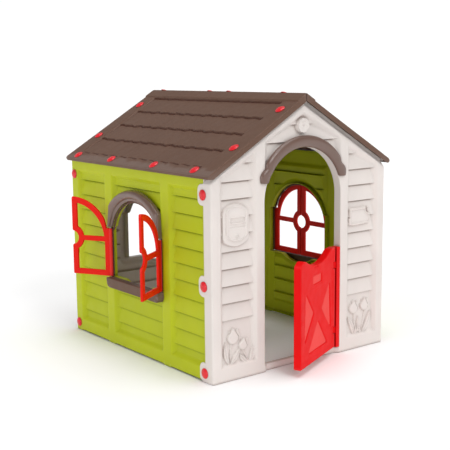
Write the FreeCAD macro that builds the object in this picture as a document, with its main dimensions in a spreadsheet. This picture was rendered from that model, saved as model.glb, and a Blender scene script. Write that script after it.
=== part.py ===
import FreeCAD, Part
import math
import os
import Sketcher
from FreeCAD import Placement, Rotation, Vector

# Plastic playhouse: four wall panels, two roof panels, a half door, two windows with
# shutter pairs, and the red plugs that hold the panels together.
# Frame: origin under the middle of the house on the ground, X to the right along the
# front wall, Y to the back, Z up. Lengths are in mm.

DRIVING = {
    "wall_width": 1000,        # front and back wall, over the corner posts
    "wall_depth": 1133,        # front face to back face
    "roof_top": 1172,          # where the two roof planes meet
    "roof_run": 608,           # roof panel, ridge to eave along the slope
    "roof_length": 1166,       # roof panel along the ridge
    "roof_edge": 24,           # depth of the roof panel's rim
    "eave_edge": 16,           # its depth along the eave
    "skin": 2.6,               # wall of every moulding
    "end_depth": 40,           # depth of the front and back panels
    "side_depth": 26,          # depth of the side panels
    "side_face": 496.5,        # outer face of the side panels from the middle
    "side_top": 875,           # top of the side panels
    "bay_recess": 22,          # top edge of a board below the panel face
    "board_recess": 10,        # bottom edge of a board below the panel face
    "board_pitch": 71.66,
    "first_board": 257,        # lowest board of the front panel
    "bay_bottom": 60,
    "side_bay_top": 807,
    "side_bay_half": 200,      # middle bay of the side panels
    "side_stile": 62,          # upright borders beside it
    "corner_stile": 57,        # upright border at the back of the side panels
    "bay_inner": 264,          # front panel bays, distance from the middle
    "bay_outer": 455,
    "bay_inner_top": 950,
    "bay_outer_top": 859,
    "gable_bay_half": 218,
    "gable_bay_corner": 985,
    "gable_bay_apex": 1098,
    "door_half": 220,
    "door_sill": 28,
    "door_spring": 730,        # centre of the door's round top
    "return_depth": 54,        # corner post returned along the side
    "ear_reach": 92,           # corner ears, from the front face
    "ear_height": 89,
    "plug_low": 40,
    "plug_mid": 406,
    "plug_high": 783,
    "front_plug": 512,         # plugs of the front corners, from the middle
    "back_plug": 543,
    "plug_hole": 8.2,          # radius
    "shingle_low": 61,         # lowest shingle row from the eave
    "shingle_pitch": 121.5,
    "shingle_depth": 7,
    "shingle_front": 487,
    "shingle_back": 500,
    "ridge_band": 57,
    "ridge_rise": 5,
    "window_half": 207,
    "window_low": 330,
    "window_shoulder": 562,
    "window_centre": 501,      # centre of the window's round top
    "window_radius": 203,
    "sill_half": 214,
    "sill_low": 282,
    "sill_reach": 34,
    "trim_reach": 26,
    "trim_top": 753,
    "trim_knee": 686,
    "trim_knee_half": 189,
    "trim_foot": 566,
    "shutter_axis": 203,       # hinge of a shutter, from the middle of the window
    "shutter_out": 8.3,        # hinge of a shutter, from the wall face
    "shutter_thick": 12,
    "shutter_wide": 201,
    "shutter_low": 332,
    "shutter_shoulder": 558,
    "shutter_radius": 198,
    "shutter_bar": 27,
    "bite_height": 506,
    "bite_radius": 32,
    "shutter_pin": 4,          # radius
    "pin_clearance": 0.06,
    "door_axis_x": 182,
    "door_axis_y": 549.5,
    "door_wide": 385,
    "door_thick": 34,
    "door_low": 32,
    "door_high": 492,
    "door_dip": 452,
    "door_pin": 5,             # radius
    "door_open": 24.7,         # degrees
    "hood_inner": 219,
    "hood_outer": 270,
    "hood_leg": 239,           # outer side of the hood's legs, from the middle
    "hood_reach": 17,
    "hood_foot": 812,
}

PITCH_DEGREES = 30.5           # slope of the roof
LEFT, RIGHT = -1, 1
EAVE_PLUG, RIDGE_PLUG = 578, 16   # distance from the ridge, down the slope
EAVE_PLUGS = (-456, -160, 189, 493)
RIDGE_PLUGS = (-425, -40, 107, 497)
RAKE_PLUGS = ((121, -530), (409, -530), (132, 536), (412, 540))
GABLE_DROP = 15                # gable panels end this far under the roof surface
BACK_STILE = 58                # plain border of the back wall
BAY_SLOPE = 0.52               # rise of the back bay's top towards the middle
FRONT_BOARDS, SIDE_BOARDS, SHINGLE_ROWS = 12, 11, 4
SHUTTER_OPEN = {"front": 123, "back": 150}
BARREL = 7.8                   # radius of a shutter's hinge edge
PIN_SOCKET = 10                # depth of a shutter pin's hole, from the window's foot
RELIEF = 4                     # raised plates on the front end this far under its face
KNUCKLES = (96, 396)           # undersides of the post's two eyes
KNUCKLE_TALL = 30
EYE = 11                       # radius of an eye
# Recessed panels of the door's cross brace and its name plate, (distance from hinge, height)
DOOR_PANELS = (
    ((46, 140), (60, 350), (150, 248)),
    ((338, 140), (238, 248), (324, 350)),
    ((84, 80), (192, 206), (300, 80)),
    ((152, 371), (152, 410), (252, 410), (252, 371)),
)
PLUG_HEIGHTS = ("plug_low", "plug_mid", "plug_high")
TOOL = 900                     # larger than any panel, for cuts that pass right through

doc = FreeCAD.newDocument("playhouse")
sheet = doc.addObject("Spreadsheet::Sheet", "sizes")
for row, (alias, number) in enumerate(DRIVING.items(), start=1):
    sheet.set("A%d" % row, alias)
    sheet.set("B%d" % row, str(number))
    sheet.setAlias("B%d" % row, alias)
doc.recompute()


class Size:
    """A length in mm together with the sheet expression that drives it."""

    def __init__(self, value, text):
        self.value = float(value)
        self.text = text

    def __add__(self, other):
        other = as_size(other)
        return Size(self.value + other.value, "(%s + %s)" % (self.text, other.text))

    def __sub__(self, other):
        other = as_size(other)
        return Size(self.value - other.value, "(%s - %s)" % (self.text, other.text))

    def __mul__(self, other):
        other = as_size(other)
        return Size(self.value * other.value, "(%s * %s)" % (self.text, other.text))

    def __truediv__(self, other):
        other = as_size(other)
        return Size(self.value / other.value, "(%s / %s)" % (self.text, other.text))

    def __neg__(self):
        return self * -1

    __radd__ = __add__
    __rmul__ = __mul__

    def __rsub__(self, other):
        return as_size(other) - self

    def root(self):
        return Size(math.sqrt(self.value), "sqrt(%s)" % self.text)


def as_size(number):
    if isinstance(number, Size):
        return number
    return Size(number, "(%.6f)" % number)


def cell(alias):
    return Size(DRIVING[alias], "sizes." + alias)


def leg(hypotenuse, other_leg):
    """The second leg of a right triangle."""
    hypotenuse, other_leg = as_size(hypotenuse), as_size(other_leg)
    return (hypotenuse * hypotenuse - other_leg * other_leg).root()


TAN = math.tan(math.radians(PITCH_DEGREES))
COS = math.cos(math.radians(PITCH_DEGREES))
SKIN = cell("skin")
HALF_WIDTH = cell("wall_width") / 2
HALF_DEPTH = cell("wall_depth") / 2


# ---------------------------------------------------------------- drawing helpers

def bind(target, path, size):
    target.setExpression(path, as_size(size).text)


def new_body(name):
    body = doc.addObject("PartDesign::Body", name)
    body.Label = name
    body.AllowCompound = True
    return body


def new_sketch(body, role, height=0):
    """A sketch on one of the body's planes, moved along that plane's normal."""
    plane = [f for f in body.Origin.OriginFeatures if f.Role == role][0]
    sketch = body.newObject("Sketcher::SketchObject", body.Name + "_sketch")
    sketch.AttachmentSupport = [(plane, "")]
    sketch.MapMode = "FlatFace"
    height = as_size(height)
    sketch.AttachmentOffset = Placement(Vector(0, 0, height.value), Rotation())
    bind(sketch, "AttachmentOffset.Base.z", height)
    return sketch


def tie(sketch, kind, geometry, point, size):
    """Fixes one coordinate of a sketch point from the sketch origin."""
    size = as_size(size)
    number = sketch.addConstraint(
        Sketcher.Constraint(kind, -1, 1, geometry, point, size.value))
    bind(sketch, "Constraints[%d]" % number, size)


def arc_between(start, end, centre, clockwise):
    radius = start.sub(centre).Length
    first = math.atan2(start.y - centre.y, start.x - centre.x)
    last = math.atan2(end.y - centre.y, end.x - centre.x)
    circle = Part.Circle(centre, Vector(0, 0, 1), radius)
    if clockwise:
        first, last = last, first
    if last <= first:
        last += 2 * math.pi
    return Part.ArcOfCircle(circle, first, last)


def draw_loop(sketch, points):
    """A closed outline. Each item is (x, y), or (x, y, "arc" or "cw arc", cx, cy) where
    the edge that leaves the point is an arc about (cx, cy)."""
    flat = [Vector(as_size(p[0]).value, as_size(p[1]).value, 0) for p in points]
    edges = []
    for i, point in enumerate(points):
        here, after = flat[i], flat[(i + 1) % len(flat)]
        if len(point) == 2:
            edges.append((sketch.addGeometry(Part.LineSegment(here, after), False), 1, 2))
            continue
        clockwise = point[2] == "cw arc"
        centre = Vector(as_size(point[3]).value, as_size(point[4]).value, 0)
        number = sketch.addGeometry(arc_between(here, after, centre, clockwise), False)
        edges.append((number, 2, 1) if clockwise else (number, 1, 2))
        across = abs(after.x - here.x) > abs(after.y - here.y)
        tie(sketch, "DistanceY" if across else "DistanceX", number, 3,
            point[4] if across else point[3])
    for i, point in enumerate(points):
        number, start, _ = edges[i]
        before, _, end = edges[i - 1]
        sketch.addConstraint(Sketcher.Constraint("Coincident", before, end, number, start))
        tie(sketch, "DistanceX", number, start, point[0])
        tie(sketch, "DistanceY", number, start, point[1])


def draw_circle(sketch, x, y, radius):
    x, y, radius = as_size(x), as_size(y), as_size(radius)
    circle = Part.Circle(Vector(x.value, y.value, 0), Vector(0, 0, 1), radius.value)
    number = sketch.addGeometry(circle, False)
    tie(sketch, "DistanceX", number, 3, x)
    tie(sketch, "DistanceY", number, 3, y)
    fixed = sketch.addConstraint(Sketcher.Constraint("Radius", number, radius.value))
    bind(sketch, "Constraints[%d]" % fixed, radius)


def rectangle(left, low, right, high):
    return [(left, low), (right, low), (right, high), (left, high)]


def grown(points, distance):
    """The straight-sided outline moved outwards by a distance, mitred at its corners."""
    flat = [(as_size(p[0]).value, as_size(p[1]).value) for p in points]
    count = len(flat)
    turn = sum(flat[i][0] * flat[(i + 1) % count][1] - flat[(i + 1) % count][0] * flat[i][1]
               for i in range(count))
    side = 1 if turn > 0 else -1
    moved = []
    for i, point in enumerate(points):
        a, b, c = flat[i - 1], flat[i], flat[(i + 1) % count]
        before = Vector(b[1] - a[1], a[0] - b[0], 0).normalize() * side
        after = Vector(c[1] - b[1], b[0] - c[0], 0).normalize() * side
        mitre = (before + after) * (1 / (1 + before.dot(after)))
        moved.append((point[0] + distance * mitre.x, point[1] + distance * mitre.y))
    return moved


def extrude(body, kind, sketch, length, backwards=False, both_ways=False):
    feature = body.newObject(kind, body.Name + "_" + kind.split("::")[1].lower())
    feature.Profile = sketch
    feature.Midplane = both_ways
    feature.Reversed = backwards
    length = as_size(length)
    feature.Length = length.value
    bind(feature, "Length", length)
    return feature


def pad(body, sketch, length, backwards=False, both_ways=False):
    return extrude(body, "PartDesign::Pad", sketch, length, backwards, both_ways)


def pocket(body, sketch, length, backwards=False, both_ways=False):
    return extrude(body, "PartDesign::Pocket", sketch, length, backwards, both_ways)


def repeat(body, feature, role, step, count):
    """A row of copies of one feature along an axis of the body."""
    axis = [f for f in body.Origin.OriginFeatures if f.Role == role][0]
    row = body.newObject("PartDesign::LinearPattern", body.Name + "_row")
    row.Originals = [feature]
    row.Direction = (axis, [""])
    row.Length = as_size(step).value * (count - 1)
    bind(row, "Length", step * (count - 1))
    row.Occurrences = count
    body.Tip = row
    return row


def place(body, base, x_axis, y_axis):
    """Puts the body's origin at base, with its X and Y along the two given directions."""
    x_axis, y_axis = Vector(*x_axis), Vector(*y_axis)
    turned = Rotation(x_axis, y_axis, x_axis.cross(y_axis), "ZXY")
    base = [as_size(b) for b in base]
    body.Placement = Placement(Vector(*[b.value for b in base]), turned)
    for name, size in zip("xyz", base):
        bind(body, "Placement.Base." + name, size)


# ---------------------------------------------------------------- outlines

def arch(half, low, spring, grow=0):
    """A doorway with a half-round top."""
    return [(-(half + grow), low - grow), (half + grow, low - grow),
            (half + grow, spring, "arc", 0, spring), (-(half + grow), spring)]


def window_outline(grow=0):
    """Straight jambs, a shoulder each side, and a round top about window_centre."""
    half = cell("window_half") + grow
    radius = cell("window_radius") + grow
    shoulder = cell("window_shoulder") + grow
    neck = leg(radius, shoulder - cell("window_centre"))
    low = cell("window_low") - grow
    return [(-half, low), (half, low), (half, shoulder),
            (neck, shoulder, "arc", 0, cell("window_centre")),
            (-neck, shoulder), (-half, shoulder)]


def gable_outline(half, drop):
    """The front or back panel: straight sides, and a top parallel to the roof."""
    top = cell("roof_top") - drop
    return [(-half, 0), (half, 0), (half, top - half * TAN),
            (0, top), (-half, top - half * TAN)]


def siding_bay(side):
    """Tall bay beside the door with a sloping top."""
    inner, outer = cell("bay_inner"), cell("bay_outer")
    low = cell("bay_bottom")
    return [(inner * side, low), (outer * side, low), (outer * side, cell("bay_outer_top")),
            (inner * side, cell("bay_inner_top"))]


def gable_bay(grow=0):
    """Bay over the door, with a round underside that follows the hood."""
    half = cell("gable_bay_half") + grow
    hood_border = 24
    round_radius = cell("door_half") + hood_border - grow
    low = cell("door_spring") + leg(round_radius, half)
    corner = cell("gable_bay_corner") + grow * (1 / COS - TAN)
    return [(half, low), (half, corner), (0, cell("gable_bay_apex") + grow * (1 / COS)),
            (-half, corner), (-half, low, "cw arc", 0, cell("door_spring"))]


# ---------------------------------------------------------------- panels

def boards(body, first, pitch, count, proud, recess, half_length):
    """One continuous sheet of lapped boards, each thin and tilted, as one row pattern."""
    board = new_sketch(body, "YZ_Plane")
    back = recess + SKIN
    draw_loop(board, [
        (first, -proud), (first + pitch, -recess), (first + pitch, -back),
        (first + SKIN, -(proud + SKIN)), (first + SKIN, -back), (first, -back)])
    feature = pad(body, board, half_length * 2, both_ways=True)
    repeat(body, feature, "Y_Axis", pitch, count)


def trim_to(body, outline):
    """Cuts away everything outside an outline."""
    sketch = new_sketch(body, "XY_Plane", TOOL / 2)
    draw_loop(sketch, rectangle(-2 * TOOL, -TOOL, 2 * TOOL, 2 * TOOL))
    draw_loop(sketch, outline)
    pocket(body, sketch, TOOL)


def frame(body, outline, inner_outline, bays, grown_bays, depth):
    """Stiles and rails round the bays: a skin on the face, flanges at every edge."""
    solid = new_sketch(body, "XY_Plane")
    draw_loop(solid, outline)
    for bay in bays:
        draw_loop(solid, bay)
    pad(body, solid, depth, backwards=True)
    hollow = new_sketch(body, "XY_Plane", -depth)
    draw_loop(hollow, inner_outline)
    for bay in grown_bays:
        draw_loop(hollow, bay)
    pocket(body, hollow, depth - SKIN, backwards=True)


def lined_opening(body, hole, rim, start, depth):
    """An opening right through the panel, with a flange all round it."""
    lining = new_sketch(body, "XY_Plane", -start)
    draw_loop(lining, rim)
    pad(body, lining, depth - start, backwards=True)
    through = new_sketch(body, "XY_Plane", TOOL / 2)
    draw_loop(through, hole)
    pocket(body, through, TOOL)


def corner_return(body, side, depth):
    """The corner post turned along the side wall, as a thin plate."""
    plate = new_sketch(body, "YZ_Plane", HALF_WIDTH * side)
    top = cell("roof_top") - GABLE_DROP - HALF_WIDTH * TAN
    draw_loop(plate, rectangle(0, -depth, top, 0))
    pad(body, plate, SKIN, backwards=side == RIGHT)


def plug_holes(body, x, side):
    """Holes for the three corner plugs, through the plates at one corner."""
    holes = new_sketch(body, "YZ_Plane", (HALF_WIDTH + SKIN) * side)
    for height in PLUG_HEIGHTS:
        draw_circle(holes, cell(height), x, cell("plug_hole"))
    pocket(body, holes, 30, backwards=side == LEFT)


def end_panel(name, half):
    """What the front and back walls share: outline, bays and boards."""
    body = new_body(name)
    outline = gable_outline(half, GABLE_DROP)
    recess, proud = cell("bay_recess"), cell("board_recess")
    boards(body, cell("first_board"), cell("board_pitch"), FRONT_BOARDS, proud, recess,
           half - SKIN)
    flat = new_sketch(body, "XY_Plane", -recess)
    draw_loop(flat, rectangle(-half + SKIN, cell("bay_bottom") - SKIN, half - SKIN,
                              cell("first_board")))
    pad(body, flat, SKIN, backwards=True)
    trim_to(body, outline)
    return body, outline


def front_wall():
    body, outline = end_panel("front_wall", HALF_WIDTH)
    depth = cell("end_depth")
    sides = [siding_bay(side) for side in (LEFT, RIGHT)]
    frame(body, outline, grown(outline, -SKIN), sides + [gable_bay()],
          [grown(bay, SKIN) for bay in sides] + [gable_bay(SKIN)], depth)
    door = [cell("door_half"), cell("door_sill"), cell("door_spring")]
    lined_opening(body, arch(*door), arch(*door, grow=SKIN), SKIN, depth)
    for side in (LEFT, RIGHT):
        corner_return(body, side, cell("return_depth"))
        corner_ears(body, side)
        plug_holes(body, -(HALF_DEPTH - cell("front_plug")), side)
    mail_plate(body)
    notice_plate(body)
    clock_disc(body)
    place(body, (0, -HALF_DEPTH, 0), (1, 0, 0), (0, 0, 1))


def corner_ears(body, side):
    """Three tabs per corner that reach over the side wall and take the plugs."""
    half = cell("ear_height") / 2
    ears = new_sketch(body, "YZ_Plane", HALF_WIDTH * side)
    for height in PLUG_HEIGHTS:
        middle = cell(height)
        low = 0 if height == "plug_low" else middle - half
        draw_loop(ears, rectangle(low, -cell("ear_reach"), middle + half,
                                  -cell("return_depth") + 1))
    pad(body, ears, SKIN, backwards=side == RIGHT)


def mail_plate(body):
    """Letter-box shape in relief on the left bay."""
    left, right, low, high = -455, -300, 568, 730
    bow = 30
    middle = (left + right) / 2
    radius = (((right - left) / 2) ** 2 + bow ** 2) / (2 * bow)
    bay_back = cell("bay_recess") + SKIN
    plate = new_sketch(body, "XY_Plane", -bay_back)
    draw_loop(plate, [
        (left, low + bow, "arc", middle, low + radius), (right, low + bow),
        (right, high - bow, "arc", middle, high - radius), (left, high - bow)])
    pad(body, plate, bay_back - RELIEF)
    slot = new_sketch(body, "XY_Plane")
    slot_low, slot_tall, slot_margin, slot_depth = 668, 14, 30, 4
    draw_loop(slot, rectangle(left + slot_margin, slot_low, right - slot_margin,
                              slot_low + slot_tall))
    pocket(body, slot, RELIEF + slot_depth)


def notice_plate(body):
    """Small board in relief with one corner cut away, on the right bay."""
    left, right, low, high = 273, 396, 578, 657
    corner_wide, corner_tall = 24, 25
    bay_back = cell("bay_recess") + SKIN
    plate = new_sketch(body, "XY_Plane", -bay_back)
    draw_loop(plate, [
        (left, low), (right, low), (right, high - corner_tall),
        (right - corner_wide, high - corner_tall), (right - corner_wide, high), (left, high)])
    pad(body, plate, bay_back - RELIEF)


def clock_disc(body):
    """Round disc in relief under the apex."""
    x, height, radius, proud = -5, 1040, 33, 2
    bay_back = cell("bay_recess") + SKIN
    disc = new_sketch(body, "XY_Plane", -bay_back)
    draw_circle(disc, x, height, radius)
    pad(body, disc, bay_back + proud)


def back_wall():
    """Set between the side walls, with returns that lie inside them."""
    half = cell("side_face") - SKIN
    body, outline = end_panel("back_wall", half)
    depth = cell("end_depth")
    reach, shoulder = half - BACK_STILE, cell("bay_outer_top")
    bay = [(-reach, cell("bay_bottom")), (reach, cell("bay_bottom")), (reach, shoulder),
           (0, shoulder + reach * BAY_SLOPE), (-reach, shoulder)]
    frame(body, outline, grown(outline, -SKIN), [bay], [grown(bay, SKIN)], depth)
    lined_opening(body, window_outline(), window_outline(SKIN), SKIN, depth)
    for side in (LEFT, RIGHT):
        plug_holes(body, -(HALF_DEPTH - cell("back_plug")), side)
    place(body, (0, HALF_DEPTH, 0), (-1, 0, 0), (0, 0, 1))


def side_wall(name, side):
    """Three bays of boards, the window in the middle one."""
    body = new_body(name)
    front = -(HALF_DEPTH - cell("return_depth"))
    back = HALF_DEPTH
    low, high = cell("bay_bottom"), cell("side_bay_top")
    depth = cell("side_depth")

    def across(start, end, bottom, top):
        """A rectangle between two places along the wall, drawn on either wall."""
        left, right = (start, end) if side == RIGHT else (-end, -start)
        return rectangle(left, bottom, right, top)

    outline = across(front, back, 0, cell("side_top"))
    window_bay, stile = cell("side_bay_half"), cell("side_stile")
    corner_stile = cell("corner_stile")
    bays = [across(front + 8, -(window_bay + stile), low, high),
            across(-window_bay, window_bay, low, high),
            across(window_bay + stile, back - corner_stile, low, high)]
    first = cell("first_board") - cell("board_pitch") * 3
    boards(body, first, cell("board_pitch"), SIDE_BOARDS, cell("board_recess"),
           cell("bay_recess"), HALF_DEPTH - SKIN)
    trim_to(body, outline)
    inner = across(front + SKIN, back + 1, SKIN, cell("side_top") - SKIN)
    frame(body, outline, inner, bays, [grown(bay, SKIN) for bay in bays], depth)
    lined_opening(body, window_outline(), window_outline(SKIN), SKIN, depth)
    lap = new_sketch(body, "XY_Plane", -depth)
    draw_loop(lap, across(back - cell("end_depth"), back + 1, -1, cell("side_top") + 1))
    pocket(body, lap, depth - SKIN, backwards=True)
    ear_bosses(body, side, across)
    plugs = new_sketch(body, "XY_Plane", SKIN)
    for y in (-cell("front_plug"), cell("back_plug")):
        for height in PLUG_HEIGHTS:
            draw_circle(plugs, y * side, cell(height), cell("plug_hole"))
    pocket(body, plugs, depth + SKIN * 2)
    place(body, (cell("side_face") * side, 0, 0), (0, side, 0), (0, 0, 1))


def ear_bosses(body, side, across):
    """Solid seats behind the front corner's ears, level with the wall face."""
    play, seat_depth = 4, 12
    half = cell("ear_height") / 2 - play
    seats = new_sketch(body, "XY_Plane")
    front = -(HALF_DEPTH - cell("return_depth"))
    for height in PLUG_HEIGHTS:
        low = SKIN if height == "plug_low" else cell(height) - half
        draw_loop(seats, across(front + 1, -(HALF_DEPTH - cell("ear_reach")) - 3, low,
                                cell(height) + half))
    pad(body, seats, seat_depth, backwards=True)


def roof_panel(name, side):
    """Four rows of shingles inside a plain border, with a raised band along the ridge.
    Drawn flat with the eave at y = 0 and the ridge at y = roof_run."""
    body = new_body(name)
    half, run = cell("roof_length") / 2, cell("roof_run")
    depth = cell("roof_edge")
    low, pitch = cell("shingle_low"), cell("shingle_pitch")
    front, back = cell("shingle_front"), cell("shingle_back")
    left, right = (-front, back) if side == RIGHT else (-back, front)
    boards(body, low, pitch, SHINGLE_ROWS, as_size(0), cell("shingle_depth"), half - SKIN)
    past_ridge = run + 8
    bay = rectangle(left, low, right, low + pitch * SHINGLE_ROWS)
    frame(body, rectangle(-half, 0, half, past_ridge),
          rectangle(-half + SKIN, SKIN, half - SKIN, past_ridge + SKIN),
          [bay], [grown(bay, SKIN)], depth)
    eave = new_sketch(body, "XY_Plane", -depth - 1)
    draw_loop(eave, rectangle(-half - 1, -1, half + 1, SKIN + 1))
    pocket(body, eave, depth + 1 - cell("eave_edge"), backwards=True)
    band = new_sketch(body, "XY_Plane", -1)
    draw_loop(band, rectangle(-half, run - cell("ridge_band"), half, past_ridge))
    pad(body, band, cell("ridge_rise") + 1)
    mitre = new_sketch(body, "YZ_Plane")
    above, below = 30, -40
    draw_loop(mitre, [(run + above * TAN, above), (run + below * TAN, below),
                      (run + TOOL, below), (run + TOOL, above)])
    pocket(body, mitre, 2 * TOOL, both_ways=True)
    holes = new_sketch(body, "XY_Plane", above)
    for distance, y in roof_plug_places(side):
        draw_circle(holes, y * side, run - distance, cell("plug_hole"))
    pocket(body, holes, above - below)
    slope = (COS * -side, 0, math.sin(math.radians(PITCH_DEGREES)))
    place(body, (run * COS * side, 0, cell("roof_top") - run * COS * TAN),
          (0, side, 0), slope)


def roof_plug_places(side):
    """(distance from the ridge down the slope, y) of every plug on one roof panel."""
    places = [(EAVE_PLUG, y) for y in EAVE_PLUGS] + list(RAKE_PLUGS)
    if side == RIGHT:
        places += [(RIDGE_PLUG, y) for y in RIDGE_PLUGS]
    return places


# ---------------------------------------------------------------- door

def door_leaf():
    """Half door, hollow from the inside, with its round hinge edge on the pin's axis."""
    body = new_body("door_leaf")
    half = cell("door_thick") / 2
    wide, low, high = cell("door_wide"), cell("door_low"), cell("door_high")
    plan = new_sketch(body, "XY_Plane", low)
    draw_loop(plan, [(-wide, -half), (0, -half, "arc", 0, 0), (0, half), (-wide, half)])
    pad(body, plan, high - low)
    door_hollow(body, wide, low, half)
    top_cut(body, wide, high, half)
    panel_depth = 3
    for corners in DOOR_PANELS:
        panel = new_sketch(body, "XZ_Plane", half)
        draw_loop(panel, [(-s, z) for s, z in corners])
        pocket(body, panel, panel_depth)
    bore = new_sketch(body, "XY_Plane")
    draw_circle(bore, 0, 0, cell("door_pin") + cell("pin_clearance"))
    pocket(body, bore, TOOL, backwards=True)
    play, gap_half = 2, 20        # each gap is open to the front and the back
    for bottom in KNUCKLES:
        gap = new_sketch(body, "XY_Plane", bottom - play)
        draw_loop(gap, rectangle(-gap_half, -gap_half * 2, gap_half, gap_half * 2))
        pocket(body, gap, KNUCKLE_TALL + play * 2, backwards=True)
    axis = Vector(cell("door_axis_x").value, -cell("door_axis_y").value, 0)
    body.Placement = Placement(axis, Rotation(Vector(0, 0, 1), DRIVING["door_open"]))
    bind(body, "Placement.Base.x", cell("door_axis_x"))
    bind(body, "Placement.Base.y", -cell("door_axis_y"))
    bind(body, "Placement.Rotation.Angle", cell("door_open"))


def door_hollow(body, wide, low, half):
    """Open back of the door in two halves, with a cross rib between them."""
    hinge_rib, cross_rib, middle, top, front_skin = -22, 5, 235, 430, 6
    hollow = new_sketch(body, "XZ_Plane", -half)
    draw_loop(hollow, rectangle(-wide + SKIN, low + SKIN, hinge_rib, middle))
    draw_loop(hollow, rectangle(-wide + SKIN, middle + cross_rib, hinge_rib, top))
    pocket(body, hollow, half * 2 - front_skin, backwards=True)


def top_cut(body, wide, high, half):
    """Horns at both ends of the door's top, and a hollow curve between them."""
    start, end, dip = 335, 50, cell("door_high") - cell("door_dip")
    chord = (start - end) / 2
    radius = (dip * dip + chord * chord) / (dip * 2)
    middle = -(start + end) / 2
    past, above, chamfer = 5, 20, 33
    cut = new_sketch(body, "XZ_Plane", half + past)
    draw_loop(cut, [
        (-wide - past, high - above), (-wide + chamfer, high),
        (-start, high, "arc", middle, cell("door_dip") + radius), (-end, high),
        (above, high), (above, high + above), (-wide - past, high + above)])
    pocket(body, cut, (half + past) * 2)


def door_hinge_post():
    """Upright on the right jamb with two eyes that carry the door's pin."""
    body = new_body("door_hinge_post")
    x, y = cell("door_axis_x"), -cell("door_axis_y")
    jamb = cell("door_half")
    thick, half_deep, low = 19.5, 16.5, cell("door_low") - 2
    post = new_sketch(body, "XY_Plane", low)
    draw_loop(post, rectangle(jamb - thick, y - half_deep, jamb, y + half_deep))
    pad(body, post, cell("door_high") - low)
    root = jamb - thick + 1
    for bottom in KNUCKLES:
        arm = new_sketch(body, "XY_Plane", bottom)
        draw_loop(arm, [(x, y - EYE), (root, y - EYE), (root, y + EYE),
                        (x, y + EYE, "arc", x, y)])
        pad(body, arm, KNUCKLE_TALL)
    bore = new_sketch(body, "XY_Plane")
    draw_circle(bore, x, y, cell("door_pin"))
    pocket(body, bore, TOOL, backwards=True)


def upright_rod(name, x, y, low, high, radius):
    rod = doc.addObject("Part::Cylinder", name)
    rod.Label = name
    bind(rod, "Radius", radius)
    bind(rod, "Height", as_size(high) - low)
    for letter, size in zip("xyz", (x, y, low)):
        bind(rod, "Placement.Base." + letter, size)


def half_ring(inner, outer, side, foot):
    """Part of a ring about the doorway's round top, with upright sides and level feet."""
    spring = cell("door_spring")
    inner_half, knee = leg(inner, foot - spring), spring + leg(outer, side)
    return [(side, foot), (side, knee, "arc", 0, spring), (-side, knee), (-side, foot),
            (-inner_half, foot, "cw arc", 0, spring), (inner_half, foot)]


def door_arch():
    """Hood over the doorway: half a ring that stands out from the wall face."""
    body = new_body("door_arch")
    inner, outer = cell("hood_inner"), cell("hood_outer")
    foot, side = cell("hood_foot"), cell("hood_leg")
    shell = 4
    ring = new_sketch(body, "XY_Plane")
    draw_loop(ring, half_ring(inner, outer, side, foot))
    pad(body, ring, cell("hood_reach"))
    hollow = new_sketch(body, "XY_Plane")
    draw_loop(hollow, half_ring(inner + shell, outer - shell, side - shell, foot + shell))
    pocket(body, hollow, cell("hood_reach") - shell, backwards=True)
    place(body, (0, -HALF_DEPTH, 0), (1, 0, 0), (0, 0, 1))


# ---------------------------------------------------------------- windows

def window_arch(name, side):
    """Curved hood over a window, stepped down to a low lip where the shutters close."""
    body = new_body(name)
    foot = cell("trim_foot")
    centre = cell("window_centre")
    inner = cell("window_radius")
    neck = leg(inner, foot - centre)
    half = cell("window_half") + 1
    knee, knee_half, notch = cell("trim_knee"), cell("trim_knee_half"), 4
    rise = cell("trim_top") - knee
    outer = (knee_half * knee_half + rise * rise) / (rise * 2)
    crescent = new_sketch(body, "XY_Plane")
    draw_loop(crescent, [
        (neck, foot), (half, foot), (knee_half + notch, knee),
        (knee_half, knee, "arc", 0, cell("trim_top") - outer),
        (-knee_half, knee), (-knee_half - notch, knee), (-half, foot),
        (-neck, foot, "cw arc", 0, centre)])
    pad(body, crescent, cell("trim_reach"))
    lip, below = 9, 1
    step = new_sketch(body, "XY_Plane", lip)
    lip_neck = leg(inner + lip, foot - below - centre)
    draw_loop(step, [
        (lip_neck, foot - below, "arc", 0, centre), (-lip_neck, foot - below)])
    pocket(body, step, cell("trim_reach"), backwards=True)
    place(body, (cell("side_face") * side, 0, 0), (0, side, 0), (0, 0, 1))


def window_sill(name, side):
    """Ledge under a window, with a socket at each end for a shutter pin."""
    body = new_body(name)
    half, low = cell("sill_half"), cell("sill_low")
    gap = 0.5
    high = cell("window_low") - gap
    corner, shell = 20, 4
    across, up = half - corner, low + corner
    ledge = new_sketch(body, "XY_Plane")
    draw_loop(ledge, [
        (-across, low), (across, low, "arc", across, up), (half, up), (half, high),
        (-half, high), (-half, up, "arc", -across, up)])
    pad(body, ledge, cell("sill_reach"))
    hollow = new_sketch(body, "XY_Plane")
    draw_loop(hollow, rectangle(-across + shell, low + shell, across - shell, high - shell))
    pocket(body, hollow, cell("sill_reach") - shell, backwards=True)
    sockets = new_sketch(body, "XZ_Plane", -high)
    for end in (LEFT, RIGHT):
        draw_circle(sockets, cell("shutter_axis") * end, cell("shutter_out"),
                    cell("shutter_pin"))
    pocket(body, sockets, PIN_SOCKET - gap, backwards=True)
    place(body, (cell("side_face") * side, 0, 0), (0, side, 0), (0, 0, 1))


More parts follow.
